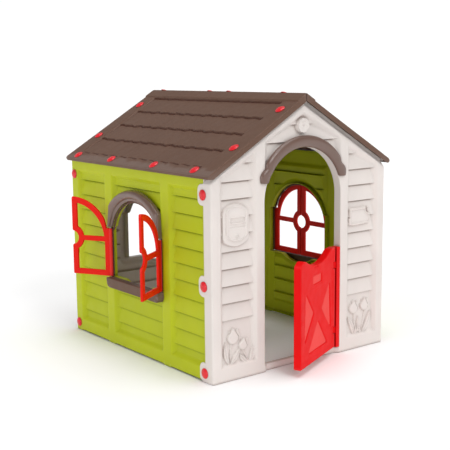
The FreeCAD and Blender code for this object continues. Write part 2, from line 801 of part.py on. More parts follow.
def shutter(name, side, end):
    """Open frame with a round hinge edge, a quarter-round top and a bite at its free edge.
    Drawn closed with the pin at x = 0, then turned on the pin."""
    body = new_body(name)
    thick, wide, bar = cell("shutter_thick"), cell("shutter_wide"), cell("shutter_bar")
    low, shoulder = cell("shutter_low"), cell("shutter_shoulder")
    axis, centre = cell("shutter_axis"), cell("window_centre")
    radius = cell("shutter_radius")
    bite, bite_at = cell("bite_radius"), cell("bite_height")
    inner, ring = radius - bar, bite + bar
    near, knee = 20, 30           # the top starts clear of the window's hood
    crown = centre + leg(radius, axis - wide)
    face = new_sketch(body, "XZ_Plane", thick / 2)
    draw_loop(face, [
        (0, low), (wide, low),
        (wide, bite_at - bite, "cw arc", wide, bite_at), (wide, bite_at + bite),
        (wide, crown, "arc", axis, centre), (knee, centre + leg(radius, axis - knee)),
        (near, shoulder), (0, shoulder)])
    pad(body, face, thick, backwards=True)
    half_rail = 12
    rail_low, rail_high = bite_at - half_rail, bite_at + half_rail
    hinge_bar, post = bar + 3, wide - bar
    holes = new_sketch(body, "XZ_Plane", thick)
    draw_loop(holes, [
        (hinge_bar, low + bar), (post, low + bar),
        (post, bite_at - leg(ring, bar), "cw arc", wide, bite_at),
        (wide - leg(ring, half_rail), rail_low), (hinge_bar, rail_low)])
    draw_loop(holes, [
        (axis - leg(inner, rail_high - centre), rail_high),
        (wide - leg(ring, half_rail), rail_high, "cw arc", wide, bite_at),
        (post, bite_at + leg(ring, bar)),
        (post, centre + leg(inner, axis - post), "arc", axis, centre)])
    pocket(body, holes, thick * 4)
    barrel = new_sketch(body, "XY_Plane", low)
    draw_circle(barrel, 0, 0, BARREL)
    pad(body, barrel, shoulder - low)
    bore = new_sketch(body, "XY_Plane")
    draw_circle(bore, 0, 0, cell("shutter_pin") + cell("pin_clearance"))
    pocket(body, bore, TOOL, backwards=True)
    turn_shutter(body, side, end)


def turn_shutter(body, side, end):
    """Closed, a shutter points from its pin to the middle of the window, along -end.
    The left window's shutters stand open, the right window's are closed."""
    opened = SHUTTER_OPEN["front" if end == LEFT else "back"] if side == LEFT else 0
    closed_angle = 90 if end == LEFT else -90
    angle = closed_angle + opened * side * end
    out = cell("side_face") + cell("shutter_out")
    base = (out * side, cell("shutter_axis") * end)
    body.Placement = Placement(Vector(base[0].value, base[1].value, 0),
                               Rotation(Vector(0, 0, 1), angle))
    bind(body, "Placement.Base.x", base[0])
    bind(body, "Placement.Base.y", base[1])


def window(prefix, side):
    window_arch(prefix + "_window_arch", side)
    window_sill(prefix + "_window_sill", side)
    out = (cell("side_face") + cell("shutter_out")) * side
    for place_name, end in (("front", LEFT), ("back", RIGHT)):
        shutter("%s_shutter_%s" % (prefix, place_name), side, end)
        upright_rod("%s_shutter_%s_pin" % (prefix, place_name), out,
                    cell("shutter_axis") * end, cell("window_low") - PIN_SOCKET,
                    cell("trim_foot"), cell("shutter_pin"))


# ---------------------------------------------------------------- plugs

CORNER_REACH, ROOF_REACH = 6.5, 3.6   # shanks through two skins, and through one


def plug_solid(reach):
    """Domed cap on a short shank, its seat at z = 0."""
    head, rim, dome, shank = 22, 2.5, 7, 8
    crown = (head * head + dome * dome) / (2 * dome)
    ball = Part.makeSphere(crown, Vector(0, 0, rim + dome - crown))
    disc = Part.makeCylinder(head, rim + dome)
    stem = Part.makeCylinder(shank, reach, Vector(0, 0, -reach))
    return ball.common(disc).fuse(stem).removeSplitter()


def plug_group(name, reach, places):
    """One node of equal plugs, each at (point, outward direction)."""
    solids = []
    for point, outward in places:
        solid = plug_solid(reach)
        solid.Placement = Placement(Vector(*point), Rotation(Vector(0, 0, 1),
                                                             Vector(*outward)))
        solids.append(solid)
    group = doc.addObject("Part::Feature", name)
    group.Shape = Part.makeCompound(solids)
    group.Label = name


def corner_plugs():
    heights = [DRIVING[height] for height in PLUG_HEIGHTS]
    front_x = DRIVING["wall_width"] / 2
    for word, side in (("left", LEFT), ("right", RIGHT)):
        plug_group("front_%s_plugs" % word, CORNER_REACH, [
            ((front_x * side, -DRIVING["front_plug"], z), (side, 0, 0)) for z in heights])
        plug_group("back_%s_plugs" % word, CORNER_REACH, [
            ((DRIVING["side_face"] * side, DRIVING["back_plug"], z), (side, 0, 0))
            for z in heights])


def roof_plugs():
    for word, side in (("left", LEFT), ("right", RIGHT)):
        outward = (math.sin(math.radians(PITCH_DEGREES)) * side, 0, COS)
        groups = {"eave": [(EAVE_PLUG, y) for y in EAVE_PLUGS], "verge": RAKE_PLUGS}
        for kind, spots in groups.items():
            plug_group("%s_%s_plugs" % (word, kind), ROOF_REACH, [
                (roof_point(side, s, y, 0), outward) for s, y in spots])
        if side == RIGHT:
            rise = DRIVING["ridge_rise"]
            plug_group("ridge_plugs", ROOF_REACH, [
                (roof_point(side, RIDGE_PLUG, y, rise), outward) for y in RIDGE_PLUGS])


def roof_point(side, distance, y, height):
    """A point on a roof panel, from its distance down the slope and its height over it."""
    x = distance * COS + height * math.sin(math.radians(PITCH_DEGREES))
    z = DRIVING["roof_top"] - distance * COS * TAN + height * COS
    return (x * side, y, z)


# ---------------------------------------------------------------- build and write

front_wall()
back_wall()
side_wall("left_wall", LEFT)
side_wall("right_wall", RIGHT)
roof_panel("left_roof", LEFT)
roof_panel("right_roof", RIGHT)
door_leaf()
door_hinge_post()
upright_rod("door_hinge_pin", cell("door_axis_x"), -cell("door_axis_y"), 60, 440,
            cell("door_pin"))
door_arch()
window("left", LEFT)
window("right", RIGHT)
corner_plugs()
roof_plugs()
doc.recompute()

bad = [o.Name for o in doc.Objects if "Invalid" in o.State or "Error" in o.State]
if bad:
    raise RuntimeError("objects failed to compute: " + ", ".join(bad))
nodes = [o for o in doc.Objects
         if o.isDerivedFrom("PartDesign::Body") or o.TypeId in ("Part::Cylinder", "Part::Feature")]
os.makedirs("parts", exist_ok=True)
for node in nodes:
    if node.Shape.isNull() or not node.Shape.isValid():
        raise RuntimeError("no valid shape: " + node.Label)
for node in nodes:
    node.Shape.exportStep("parts/%s.step" % node.Label)
    print("%-28s %2d solids %9.1f cm3" % (
        node.Label, len(node.Shape.Solids), node.Shape.Volume / 1000))
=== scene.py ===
import contextlib
import math

import bmesh
import bpy
import numpy as np
from mathutils import Matrix, Vector


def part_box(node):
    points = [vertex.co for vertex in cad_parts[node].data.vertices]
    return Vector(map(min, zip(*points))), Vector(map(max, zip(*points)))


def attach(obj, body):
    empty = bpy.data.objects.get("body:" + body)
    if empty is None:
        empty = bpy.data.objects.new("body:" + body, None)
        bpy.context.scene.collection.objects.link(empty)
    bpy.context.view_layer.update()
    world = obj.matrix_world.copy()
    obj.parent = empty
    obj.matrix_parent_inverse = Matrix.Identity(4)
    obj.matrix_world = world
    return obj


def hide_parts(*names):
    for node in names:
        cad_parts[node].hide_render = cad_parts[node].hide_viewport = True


# Plastic playhouse. The drawings of its panels are in millimetres, and every mesh is in
# metres, in the frame's own axes: X along the front wall, Y to the back, Z up.

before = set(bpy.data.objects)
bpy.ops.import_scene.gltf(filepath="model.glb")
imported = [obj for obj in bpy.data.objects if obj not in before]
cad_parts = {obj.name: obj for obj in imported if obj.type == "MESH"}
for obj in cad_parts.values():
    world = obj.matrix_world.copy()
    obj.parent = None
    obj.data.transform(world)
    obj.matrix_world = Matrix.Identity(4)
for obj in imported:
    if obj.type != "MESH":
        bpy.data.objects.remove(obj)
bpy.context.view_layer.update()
MM = 0.001
WELD = 1e-5                         # CAD points this near each other are one, in metres
LEFT, RIGHT = -1, 1


def size_of(node):
    """A CAD node's lowest and highest corner, in millimetres."""
    low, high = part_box(node)
    return np.array(low) / MM, np.array(high) / MM


CLOCK_PROUD = 2                     # the clock stands this far before the front face
(_, front_low_y, _), (HALF_WIDTH, _, GABLE_TOP) = size_of("front_wall")
FRONT_FACE = front_low_y + CLOCK_PROUD
BACK_HALF, BACK_FACE, _ = size_of("back_wall")[1]
(_, SIDE_FRONT, _), (SIDE_FACE, _, SIDE_TOP) = size_of("right_wall")
ROOF_HALF = size_of("right_roof")[1][1]
ROOF_TOP = GABLE_TOP + 15
SLOPE = math.radians(30.5)
TAN, COS, SIN = math.tan(SLOPE), math.cos(SLOPE), math.sin(SLOPE)
ROOF_RUN = 608                      # from the eave up the slope to the ridge
SKIN = 2.6
BOARD_PITCH, FIRST_BOARD = 71.66, 257
BOARD_FOOT, BOARD_HEAD = 10, 22     # depth of a board's bottom and top edge under the face
BAY_SLANT = 0.9                     # slope of a bay's sides


# ---- distances and blends
# Each distance is negative inside its shape, in millimetres, for whole arrays at once.

def soft_min(a, b, width):
    share = np.clip(0.5 + 0.5 * (b - a) / width, 0, 1)
    return b * (1 - share) + a * share - width * share * (1 - share)


def soft_max(a, b, width):
    return -soft_min(-a, -b, width)


def ramp(x, start, end):
    share = np.clip((x - start) / (end - start), 0, 1)
    return share * share * (3 - 2 * share)


def rectangle(x, y, left, low, right, high, corner=0.0):
    across = np.abs(x - (left + right) / 2) - (right - left) / 2 + corner
    up = np.abs(y - (low + high) / 2) - (high - low) / 2 + corner
    outside = np.hypot(np.maximum(across, 0), np.maximum(up, 0))
    return outside + np.minimum(np.maximum(across, up), 0) - corner


def disc(x, y, centre_x, centre_y, radius):
    return np.hypot(x - centre_x, y - centre_y) - radius


def under_line(x, y, point, angle):
    """Distance above a line through point that rises at angle (radians) to the right."""
    return (y - point[1]) * math.cos(angle) - (x - point[0]) * math.sin(angle)


def along(x, y, start, end):
    """Share of the way from start to end, and the distance to the right of that line."""
    dx, dy = end[0] - start[0], end[1] - start[1]
    length = math.hypot(dx, dy)
    share = ((x - start[0]) * dx + (y - start[1]) * dy) / length ** 2
    aside = ((x - start[0]) * dy - (y - start[1]) * dx) / length
    return share, aside, length


def taper(x, y, start, end, first, last):
    """A round-ended bar whose radius goes from first to last."""
    share, _, _ = along(x, y, start, end)
    share = np.clip(share, 0, 1)
    near_x = start[0] + (end[0] - start[0]) * share
    near_y = start[1] + (end[1] - start[1]) * share
    return np.hypot(x - near_x, y - near_y) - (first + (last - first) * share)


def leaf(x, y, start, end, width, bend):
    """A pointed leaf from start to end, bowed to the right by bend."""
    share, aside, length = along(x, y, start, end)
    inside = np.clip(share, 0, 1)
    bow = np.sin(np.pi * inside)
    beyond = np.maximum(np.maximum(-share, share - 1), 0) * length
    outside = np.abs(aside - bend * bow) - width * bow ** 0.8
    return np.hypot(np.maximum(outside, 0), beyond) - np.maximum(-outside, 0)


def raised(distance, tall, edge):
    """Relief with a rounded shoulder, tall inside the shape and 0 outside."""
    share = np.clip(-distance / edge, 0, 1)
    return tall * np.sqrt(share * (2 - share))


def crest(distance, tall, width):
    """A soft ridge along the line where distance is 0."""
    return tall * np.exp(-(distance / width) ** 2)


def groove(distance, depth, width):
    return -crest(distance, depth, width)


def laid_over(under, level, distance, fall=3):
    """A relief at level, falling away outside its shape, on top of what is under it."""
    return soft_max(under, level - np.maximum(distance, 0) * fall, 1.2)


# ---- meshes

def mesh_object(name, points, faces):
    mesh = bpy.data.meshes.new(name)
    mesh.from_pydata(np.asarray(points, float).tolist(), [], [list(map(int, f)) for f in faces])
    mesh.validate()
    mesh.update()
    piece = bpy.data.objects.new(name, mesh)
    bpy.context.scene.collection.objects.link(piece)
    return piece


@contextlib.contextmanager
def editing(piece):
    """Opens a piece's mesh for changes and writes them back."""
    work = bmesh.new()
    work.from_mesh(piece.data)
    yield work
    work.to_mesh(piece.data)
    work.free()


def shade(piece, angle=38):
    """Smooth shading, with edges sharper than angle kept crisp and flat faces kept flat."""
    limit = math.radians(angle)
    with editing(piece) as work:
        for face in work.faces:
            face.smooth = True
        for edge in work.edges:
            edge.smooth = len(edge.link_faces) == 2 and edge.calc_face_angle(0) < limit
    even = piece.modifiers.new("even_normals", "WEIGHTED_NORMAL")
    even.keep_sharp = True
    even.weight = 70
    return piece


def apply_modifier(piece, modifier):
    with bpy.context.temp_override(object=piece, active_object=piece):
        bpy.ops.object.modifier_apply(modifier=modifier.name)


def thin_out(piece, ratio):
    """Fewer triangles where the surface is flat."""
    if ratio < 1:
        fewer = piece.modifiers.new("fewer", "DECIMATE")
        fewer.ratio = ratio
        apply_modifier(piece, fewer)


def both_ways(values):
    """The values with a minus sign, then the values themselves."""
    return [sign * v for sign in (-1, 1) for v in values]


def grid_lines(low, high, step, marks=()):
    """Grid positions from low to high, on every mark and at most step apart."""
    stops = [low]
    for mark in sorted(m for m in marks if low < m < high):
        if mark - stops[-1] > 0.6:
            stops.append(mark)
    if high - stops[-1] < 0.6:
        stops.pop()
    stops.append(high)
    lines = []
    for here, after in zip(stops, stops[1:]):
        count = max(1, math.ceil((after - here) / step))
        lines += [here + (after - here) * i / count for i in range(count)]
    return np.array(lines + [high])


def flat_place(origin, u_axis, v_axis, out_axis):
    """Drawing (u, v, height) to the frame, for a flat panel."""
    axes = np.array([u_axis, v_axis, out_axis], float)
    origin = np.array(origin, float)

    def place(u, v, height):
        return (origin + np.stack([u, v, height], -1) @ axes) * MM
    return place


def side_place(side):
    """Drawings on a side wall's outer face; u runs to the back on the right wall only."""
    return flat_place((SIDE_FACE * side, 0, 0), (0, side, 0), (0, 0, 1), (side, 0, 0))


def cells_inside(u_lines, v_lines, outline, inset):
    """The grid's points and four-sided cells that lie inset or more inside the outline."""
    u, v = np.meshgrid(u_lines, v_lines)
    inside = outline(u, v) < -inset + 1e-6
    cells = inside[:-1, :-1] & inside[1:, :-1] & inside[:-1, 1:] & inside[1:, 1:]
    used = np.zeros_like(inside)
    for rows in (slice(None, -1), slice(1, None)):
        for columns in (slice(None, -1), slice(1, None)):
            used[rows, columns] |= cells
    index = np.full(u.shape, -1)
    index[used] = np.arange(int(used.sum()))
    quads = np.stack([index[:-1, :-1], index[:-1, 1:], index[1:, 1:], index[1:, :-1]], -1)
    return u[used], v[used], quads[cells]


def outward(outline, u, v):
    """The direction, at each point, in which the distance to the outline grows."""
    tiny = 0.05
    slope_u = outline(u + tiny, v) - outline(u - tiny, v)
    slope_v = outline(u, v + tiny) - outline(u, v - tiny)
    size = np.maximum(np.hypot(slope_u, slope_v), 1e-9)
    return slope_u / size, slope_v / size


def moved_to_edge(outline, u, v, inset):
    """Points brought onto the line that runs inset inside the outline."""
    for _ in range(3):
        out_u, out_v = outward(outline, u, v)
        gap = -(outline(u, v) + inset)
        u, v = u + out_u * gap, v + out_v * gap
    return u, v


def boundary_edges(quads, count):
    starts = quads.ravel()
    ends = np.roll(quads, -1, axis=1).ravel()
    alone = ~np.isin(starts * count + ends, ends * count + starts)
    return starts[alone], ends[alone]


def panel(name, place, u_lines, v_lines, outline, height, base, edge_round=4.0,
          rounds=None, back=None, keep=1.0):
    """A moulded panel as one closed mesh: a face that follows height(u, v) inside the
    outline, round edges, and walls down to base. It is a hollow shell of one skin, open
    behind; with back(u, v) it is a solid with that back face. keep is the share of its
    triangles that stay."""
    u, v, quads = cells_inside(u_lines, v_lines, outline, edge_round)
    count = len(u)
    starts, ends = boundary_edges(quads, count)
    border = np.unique(starts)
    ring_of = np.full(count, -1)
    ring_of[border] = np.arange(len(border))
    edge_u, edge_v = moved_to_edge(outline, u[border], v[border], edge_round)
    u[border], v[border] = edge_u, edge_v
    out_u, out_v = outward(outline, edge_u, edge_v)
    face = height(u, v)
    at_edge = face[border]
    radius = np.full(len(border), float(edge_round)) if rounds is None \
        else np.minimum(rounds(edge_u, edge_v), edge_round)
    foot = base(edge_u, edge_v) if callable(base) else np.full(len(border), float(base))

    def ring(outward, level):
        return place(edge_u + out_u * outward, edge_v + out_v * outward, level)

    def turned_edge(start, a, inwards):
        """The round edge at angle a; inwards is -1 from the face and 1 from the back."""
        return ring(edge_round - radius + radius * math.sin(a),
                    start + inwards * (radius * (1 - math.cos(a))))

    turns = [math.radians(a) for a in ((0, 30, 60, 90) if rounds else (30, 60, 90))]
    rings = [turned_edge(at_edge, a, -1) for a in turns]
    if back is None:
        rings.append(ring(edge_round, foot))
        rings.append(ring(edge_round - SKIN, foot))
        rings.append(ring(edge_round - SKIN, np.maximum(at_edge - SKIN - 1, foot)))
        rear = place(u, v, face - SKIN)
    else:
        behind = back(u, v)
        rings += [turned_edge(behind[border], a, 1) for a in reversed(turns)]
        rear = place(u, v, behind)
    points = np.concatenate([place(u, v, face)] + rings + [rear])
    layers = [np.arange(count)[border]]
    layers += [count + i * len(border) + np.arange(len(border)) for i in range(len(rings))]
    rear_start = count + len(rings) * len(border)
    layers.append(rear_start + border)
    a, b = ring_of[starts], ring_of[ends]
    faces = [quads, quads[:, ::-1] + rear_start]
    for upper, lower in zip(layers, layers[1:]):
        faces.append(np.stack([upper[b], upper[a], lower[a], lower[b]], -1))
    piece = mesh_object(name, points, np.concatenate(faces))
    thin_out(piece, keep)
    return shade(piece)


def loft(name, rings):
    """A closed mesh through equal rings of points, each ring a closed loop."""
    rings = [np.asarray(r, float) for r in rings]
    count = len(rings[0])
    faces = []
    for low in range(0, (len(rings) - 1) * count, count):
        for j in range(count):
            after = (j + 1) % count
            faces.append((low + j, low + after, low + count + after, low + count + j))
    faces.append(range(count)[::-1])
    faces.append(range((len(rings) - 1) * count, len(rings) * count))
    return mesh_object(name, np.concatenate(rings), faces)


def join(name, pieces):
    with bpy.context.temp_override(active_object=pieces[0], object=pieces[0],
                                   selected_editable_objects=pieces):
        bpy.ops.object.join()
    pieces[0].name = name
    return pieces[0]


def face_outwards(piece):
    """Turns a mirrored mesh's faces the right way out."""
    with editing(piece) as work:
        bmesh.ops.recalc_face_normals(work, faces=work.faces)


# ---- materials

def set_inputs(node, values):
    """Sets a shader node's inputs by their names."""
    for name, value in values.items():
        node.inputs[name].default_value = value


def plastic(name, colour, roughness, grain=0.10, specular=0.5, deep=(0.6, 0.6, 0.6), coat=0.0):
    """Moulded plastic: a faint mottle, painted shade in its corners and creases, edges
    lightened as part rubbed wear and part painted highlight, and fine grain. deep is how
    much of each colour is left in the painted corner shade."""
    material = bpy.data.materials.new(name)
    material.use_nodes = True
    nodes, links = material.node_tree.nodes, material.node_tree.links
    shader = nodes["Principled BSDF"]
    set_inputs(shader, {"Specular IOR Level": specular, "Coat Weight": coat,
                        "Coat Roughness": 0.25})
    place = nodes.new("ShaderNodeTexCoord").outputs["Object"]

    def noise(scale, detail):
        texture = nodes.new("ShaderNodeTexNoise")
        set_inputs(texture, {"Scale": scale, "Detail": detail})
        links.new(place, texture.inputs["Vector"])
        return texture.outputs["Fac"]

    def between(value, low, high, start=0.3, end=0.7):
        scaled = nodes.new("ShaderNodeMapRange")
        set_inputs(scaled, {"From Min": start, "From Max": end, "To Min": low, "To Max": high})
        links.new(value, scaled.inputs["Value"])
        return scaled.outputs["Result"]

    def tint(factor, over, colour_under=None, under=None):
        """Mixes a colour over another colour, or over what another node gives."""
        mixed = nodes.new("ShaderNodeMix")
        mixed.data_type = "RGBA"
        factor_in, under_in, over_in = (mixed.inputs[i] for i in (0, 6, 7))
        links.new(factor, factor_in)
        over_in.default_value = over
        if under:
            links.new(under, under_in)
        else:
            under_in.default_value = colour_under
        return mixed.outputs[2]

    def bumps(scale, detail, strength, distance, under=None):
        bump = nodes.new("ShaderNodeBump")
        set_inputs(bump, {"Strength": strength, "Distance": distance})
        links.new(noise(scale, detail), bump.inputs["Height"])
        if under:
            links.new(under, bump.inputs["Normal"])
        return bump.outputs["Normal"]

    def opaque(channels):
        return tuple(channels) + (1.0,)

    warm = opaque(min(1.0, c * 1.035) for c in colour)
    cool = opaque(c * 0.965 for c in colour)
    shaded = opaque(c * left for c, left in zip(colour, deep))
    worn_and_highlit = opaque(c + (1 - c) * 0.10 for c in colour)
    mottled = tint(between(noise(5.0, 3.0), 0.0, 1.0), warm, colour_under=cool)
    # Painted shade: ambient occlusion darkens corners, creases and board steps towards the shaded
    # colour.
    corners = nodes.new("ShaderNodeAmbientOcclusion")
    corners.samples = 6
    corners.inputs["Distance"].default_value = 0.014
    painted_corner_shade = tint(between(corners.outputs["AO"], 1.0, 0.0, 0.30, 0.96), shaded, under=mottled)
    # Convex edges lightened: part rubbed wear, part painted highlight.
    edges = nodes.new("ShaderNodeNewGeometry").outputs["Pointiness"]
    rubbed_and_highlit = tint(between(edges, 0.0, 0.45, 0.53, 0.62), worn_and_highlit, under=painted_corner_shade)
    links.new(rubbed_and_highlit, shader.inputs["Base Color"])
    links.new(between(noise(26.0, 5.0), roughness - 0.05, roughness + 0.07),
              shader.inputs["Roughness"])
    fine_grain = bumps(1100.0, 2.0, grain, 0.0006)
    links.new(bumps(38.0, 2.0, 0.15, 0.0015, fine_grain), shader.inputs["Normal"])
    material.diffuse_color = opaque(colour)
    return material


def linear(red, green, blue):
    """Screen colour, 0 to 255, as linear light."""
    def one(c):
        c /= 255
        return c / 12.92 if c <= 0.04045 else ((c + 0.055) / 1.055) ** 2.4
    return tuple(one(c) for c in (red, green, blue))


MATERIALS = {}
# deep sets each material's painted shade in corners and creases: the share of each colour left
# there.
for look, screen_colour, roughness, rest in (
        ("white", (229, 221, 216), 0.55, {"specular": 0.3, "deep": (0.50, 0.44, 0.42)}),
        ("green", (188, 198, 18), 0.50, {"specular": 0.28, "deep": (0.42, 0.46, 0.40)}),
        ("brown", (103, 75, 60), 0.50, {"specular": 0.32, "deep": (0.60, 0.22, 0.15)}),
        ("hood", (101, 70, 56), 0.36, {"grain": 0.05, "specular": 0.9, "coat": 0.5,
                                       "deep": (0.5, 0.34, 0.3)}),
        ("door_red", (231, 8, 12), 0.5, {"specular": 0.10}),
        ("door_field", (239, 78, 74), 0.6, {"specular": 0.10}),
        ("shutter_red", (228, 24, 8), 0.42, {"specular": 0.15}),
        ("plug_red", (228, 18, 34), 0.28, {"grain": 0.04, "coat": 0.15}),
        ("pin_grey", (150, 150, 150), 0.35, {"grain": 0.04})):
    MATERIALS[look] = plastic(look + "_plastic", linear(*screen_colour), roughness, **rest)


def finish_piece(piece, body, slot, *nodes, material=None):
    """Gives a piece its material and ties it to the frame."""
    piece.data.materials.clear()
    piece.data.materials.append(MATERIALS[material or slot])
    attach(piece, body)
    if nodes:
        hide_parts(*nodes)
    return piece


# ---- siding

def board_lines(low, high):
    count_low = math.ceil((low - FIRST_BOARD) / BOARD_PITCH)
    count_high = math.floor((high - FIRST_BOARD) / BOARD_PITCH)
    return [FIRST_BOARD + BOARD_PITCH * n for n in range(count_low, count_high + 1)]


def lapped(z):
    """Lapped boards: each leans in from its proud bottom edge to its deep top edge."""
    lip, seam_deep = 2.2, 2.6
    rise = (z - FIRST_BOARD) % BOARD_PITCH
    lean = -(BOARD_FOOT + (BOARD_HEAD - BOARD_FOOT) * rise / BOARD_PITCH)
    under = ramp(rise, 0, lip)
    lean = lean + crest(rise - 4.0, 0.8, 2.0)
    seam = BOARD_HEAD + seam_deep * ramp(rise, BOARD_PITCH - 4.5, BOARD_PITCH - 1.0)
    return np.where(rise > BOARD_PITCH / 2, lean + BOARD_HEAD - seam,
                    lean * under - (BOARD_HEAD + seam_deep) * (1 - under))


def sunk(distance, floor_height):
    """A bay let into a face at height 0: slanting sides down to floor_height."""
    sides = soft_min(np.zeros_like(distance), distance * BAY_SLANT, 3.0)
    return soft_max(sides, floor_height, 2.0)


def swell(x, z):
    """The slow waviness of a large moulded face."""
    return 0.35 * np.sin(x * 0.013 + 1.1) * np.sin(z * 0.011 + 0.4) \
        + 0.18 * np.sin(x * 0.031 + z * 0.017)


def row_marks(low, high):
    """Grid rows that follow the bottom edge of every board."""
    steps = (-4, -0.7, 0.5, 1.4, 2.6, 4.5, 7)
    return [line + step for line in board_lines(low, high) for step in steps]


# ---- front wall

DOOR_HALF, DOOR_SILL, DOOR_SPRING = 220, 28, 730
BAY_INNER, BAY_OUTER, BAY_LOW = 264, 455, 60
BAY_INNER_TOP, BAY_OUTER_TOP = 950, 859
GABLE_BAY_HALF, GABLE_BAY_CORNER, GABLE_BAY_APEX = 218, 985, 1098
POST_ROUND = 9                      # radius of the upright outer corners
RETURN_DEPTH, EAR_REACH, EAR_HALF = 54, 92, 44.5
EARS = (40, 406, 783)


def front_bay(x, z, side):
    """The bay beside the door: upright, with a top that slants with the roof."""
    inner, outer = sorted((BAY_INNER * side, BAY_OUTER * side))
    slope = math.atan2(BAY_OUTER_TOP - BAY_INNER_TOP, BAY_OUTER - BAY_INNER) * side
    box = rectangle(x, z, inner, BAY_LOW, outer, BAY_INNER_TOP + 40, 7)
    return soft_max(box, under_line(x, z, (BAY_INNER * side, BAY_INNER_TOP), slope), 16)


def gable_bay(x, z):
    """The bay under the roof's point, clear of the door's round top."""
    slope = math.atan2(GABLE_BAY_APEX - GABLE_BAY_CORNER, GABLE_BAY_HALF)
    top = under_line(np.abs(x), z, (0, GABLE_BAY_APEX), -slope)
    walls = soft_max(top, np.abs(x) - GABLE_BAY_HALF, 12)
    return soft_max(walls, DOOR_HALF + 24 - np.hypot(x, z - DOOR_SPRING), 6)


def tulip(x, z, centre, radius, lean):
    """A flower head of two overlapping petals, with a crease between them."""
    cx, cz = centre

    def petal(foot_x, foot_z, tip_x, tip_z, wide):
        """A petal from foot to tip, all in shares of the flower's radius."""
        return taper(x, z, (cx + foot_x * radius, cz + foot_z * radius),
                     (cx + tip_x * radius + lean, cz + tip_z * radius), wide * radius, 1)

    front = petal(-0.22, 0, -0.1, 1.15, 0.86)
    rear = petal(0.28, 0.05, 0.62, 0.95, 0.74)
    side = petal(-0.3, 0, -0.72, 0.9, 0.62)
    relief = np.maximum(raised(rear, 6.0, 4), raised(side, 6.0, 4))
    return np.where(front < 0, np.maximum(raised(front, 9.5, 6), 1.5), relief) \
        + np.where((front > 0) & (np.minimum(rear, side) < 0), groove(front, 3.5, 1.8), 0)


def flowers(x, z, side):
    """Two tulips with their leaves."""
    if side == LEFT:
        stems = [((-392, 158), (-407, 70)), ((-332, 120), (-303, 62))]
        heads = [((-377, 182), 35, -2), ((-327, 142), 26, 4)]
        leaves = [((-407, 64), (-424, 168), 12, -9), ((-407, 64), (-347, 134), 12, 5),
                  ((-303, 58), (-354, 106), 11, -4), ((-303, 58), (-280, 130), 14, 9)]
    else:
        stems = [((327, 168), (322, 66)), ((397, 170), (372, 66))]
        heads = [((327, 192), 32, 0), ((397, 196), 30, 0)]
        leaves = [((318, 62), (282, 156), 13, 8), ((318, 62), (352, 118), 11, 4),
                  ((368, 62), (345, 120), 11, -4), ((368, 62), (430, 166), 15, 11),
                  ((345, 66), (350, 150), 8, 0)]
    relief = np.zeros_like(x)
    for start, end in stems:
        relief = np.maximum(relief, raised(taper(x, z, start, end, 4, 4), 4.5, 3))
    for start, end, width, bend in leaves:
        blade = leaf(x, z, start, end, width, bend)
        share, aside, _ = along(x, z, start, end)
        rib = groove(aside - bend * np.sin(np.pi * np.clip(share, 0, 1)), 2.6, 1.8)
        gap = groove(np.abs(blade) * (blade > 0) + 9 * (blade <= 0), 3.5, 1.8)
        relief = np.where(blade < 0, raised(blade, 7.5, 4) + np.where(blade < -2.5, rib, 0),
                          relief + gap * (relief > 2))
    for centre, radius, lean in heads:
        relief = np.maximum(relief, tulip(x, z, centre, radius, lean))
    return relief


def bay_floor(x, z, side):
    """Boards with a flat panel of flowers below the lowest one."""
    share = (z - BAY_LOW) / (FIRST_BOARD - BAY_LOW)
    flat = -(13 + 7 * np.clip(share, 0, 1)) + flowers(x, z, side)
    upper = ramp(z, FIRST_BOARD - 0.5, FIRST_BOARD + 1.6)
    return flat * (1 - upper) + lapped(z) * upper


def bowed_plate(x, z, left, low, right, high, bow, corner):
    """A rounded rectangle whose top and bottom edges bow outwards."""
    middle, half = (left + right) / 2, (right - left) / 2
    arch = bow * (1 - ((x - middle) / half) ** 2)
    up = np.abs(z - (low + high) / 2) - (high - low) / 2 + bow - np.clip(arch, 0, bow)
    across = np.abs(x - middle) - half
    return soft_max(across, up, corner)


def letter_box(x, z, under):
    """Letter box in relief: a rim, a slot with a raised lip, a flap line and a lock."""
    plate = bowed_plate(x, z, -437, 566, -302, 738, 26, 14)
    inner = bowed_plate(x, z, -422, 584, -311, 736, 24, 8)
    level = -5.5 + 4.0 * ramp(-inner, 0, 2.2) - 2.6 * ramp(-inner, 7, 9.5)
    slot = rectangle(x, z, -402, 660, -322, 684, 8)
    level += crest(slot - 1, 2.8, 2.2) - 3.0 * ramp(-slot, 1, 4)
    level += np.where((x > -402) & (x < -322), groove(z - 644, 3.0, 1.9), 0)
    level += raised(disc(x, z, -364, 606, 9), 3.0, 3)
    level += groove(np.hypot(x + 364, z - 606) - 5, 2.5, 1.4)
    return laid_over(under, level, plate)


def notice_board(x, z, under):
    """A curling sheet in relief with a bell cut into its upper right corner."""
    wave = 3.5 * np.sin((x - 285) * 0.035)
    plate = soft_max(rectangle(x, z + wave * 0.6, 286, 580, 412, 655, 10),
                     24 - np.hypot(x - 408, z - 650), 3)
    level = -5.0 + crest(plate + 4, 3.0, 2.6) - 2.4 * ramp(-plate, 6, 8.5)
    sheet = laid_over(under, level, plate)
    curl = taper(x, z, (284, 604), (284, 588), 6, 8)
    sheet = np.maximum(sheet, -6 + raised(curl, 5, 6) - np.maximum(curl, 0) * 3)
    bell = np.minimum(taper(x, z, (401, 641), (401, 652), 8, 4), disc(x, z, 401, 634, 3.5))
    return np.maximum(sheet, -13 + raised(bell, 8, 4) - np.maximum(bell, 0) * 4)


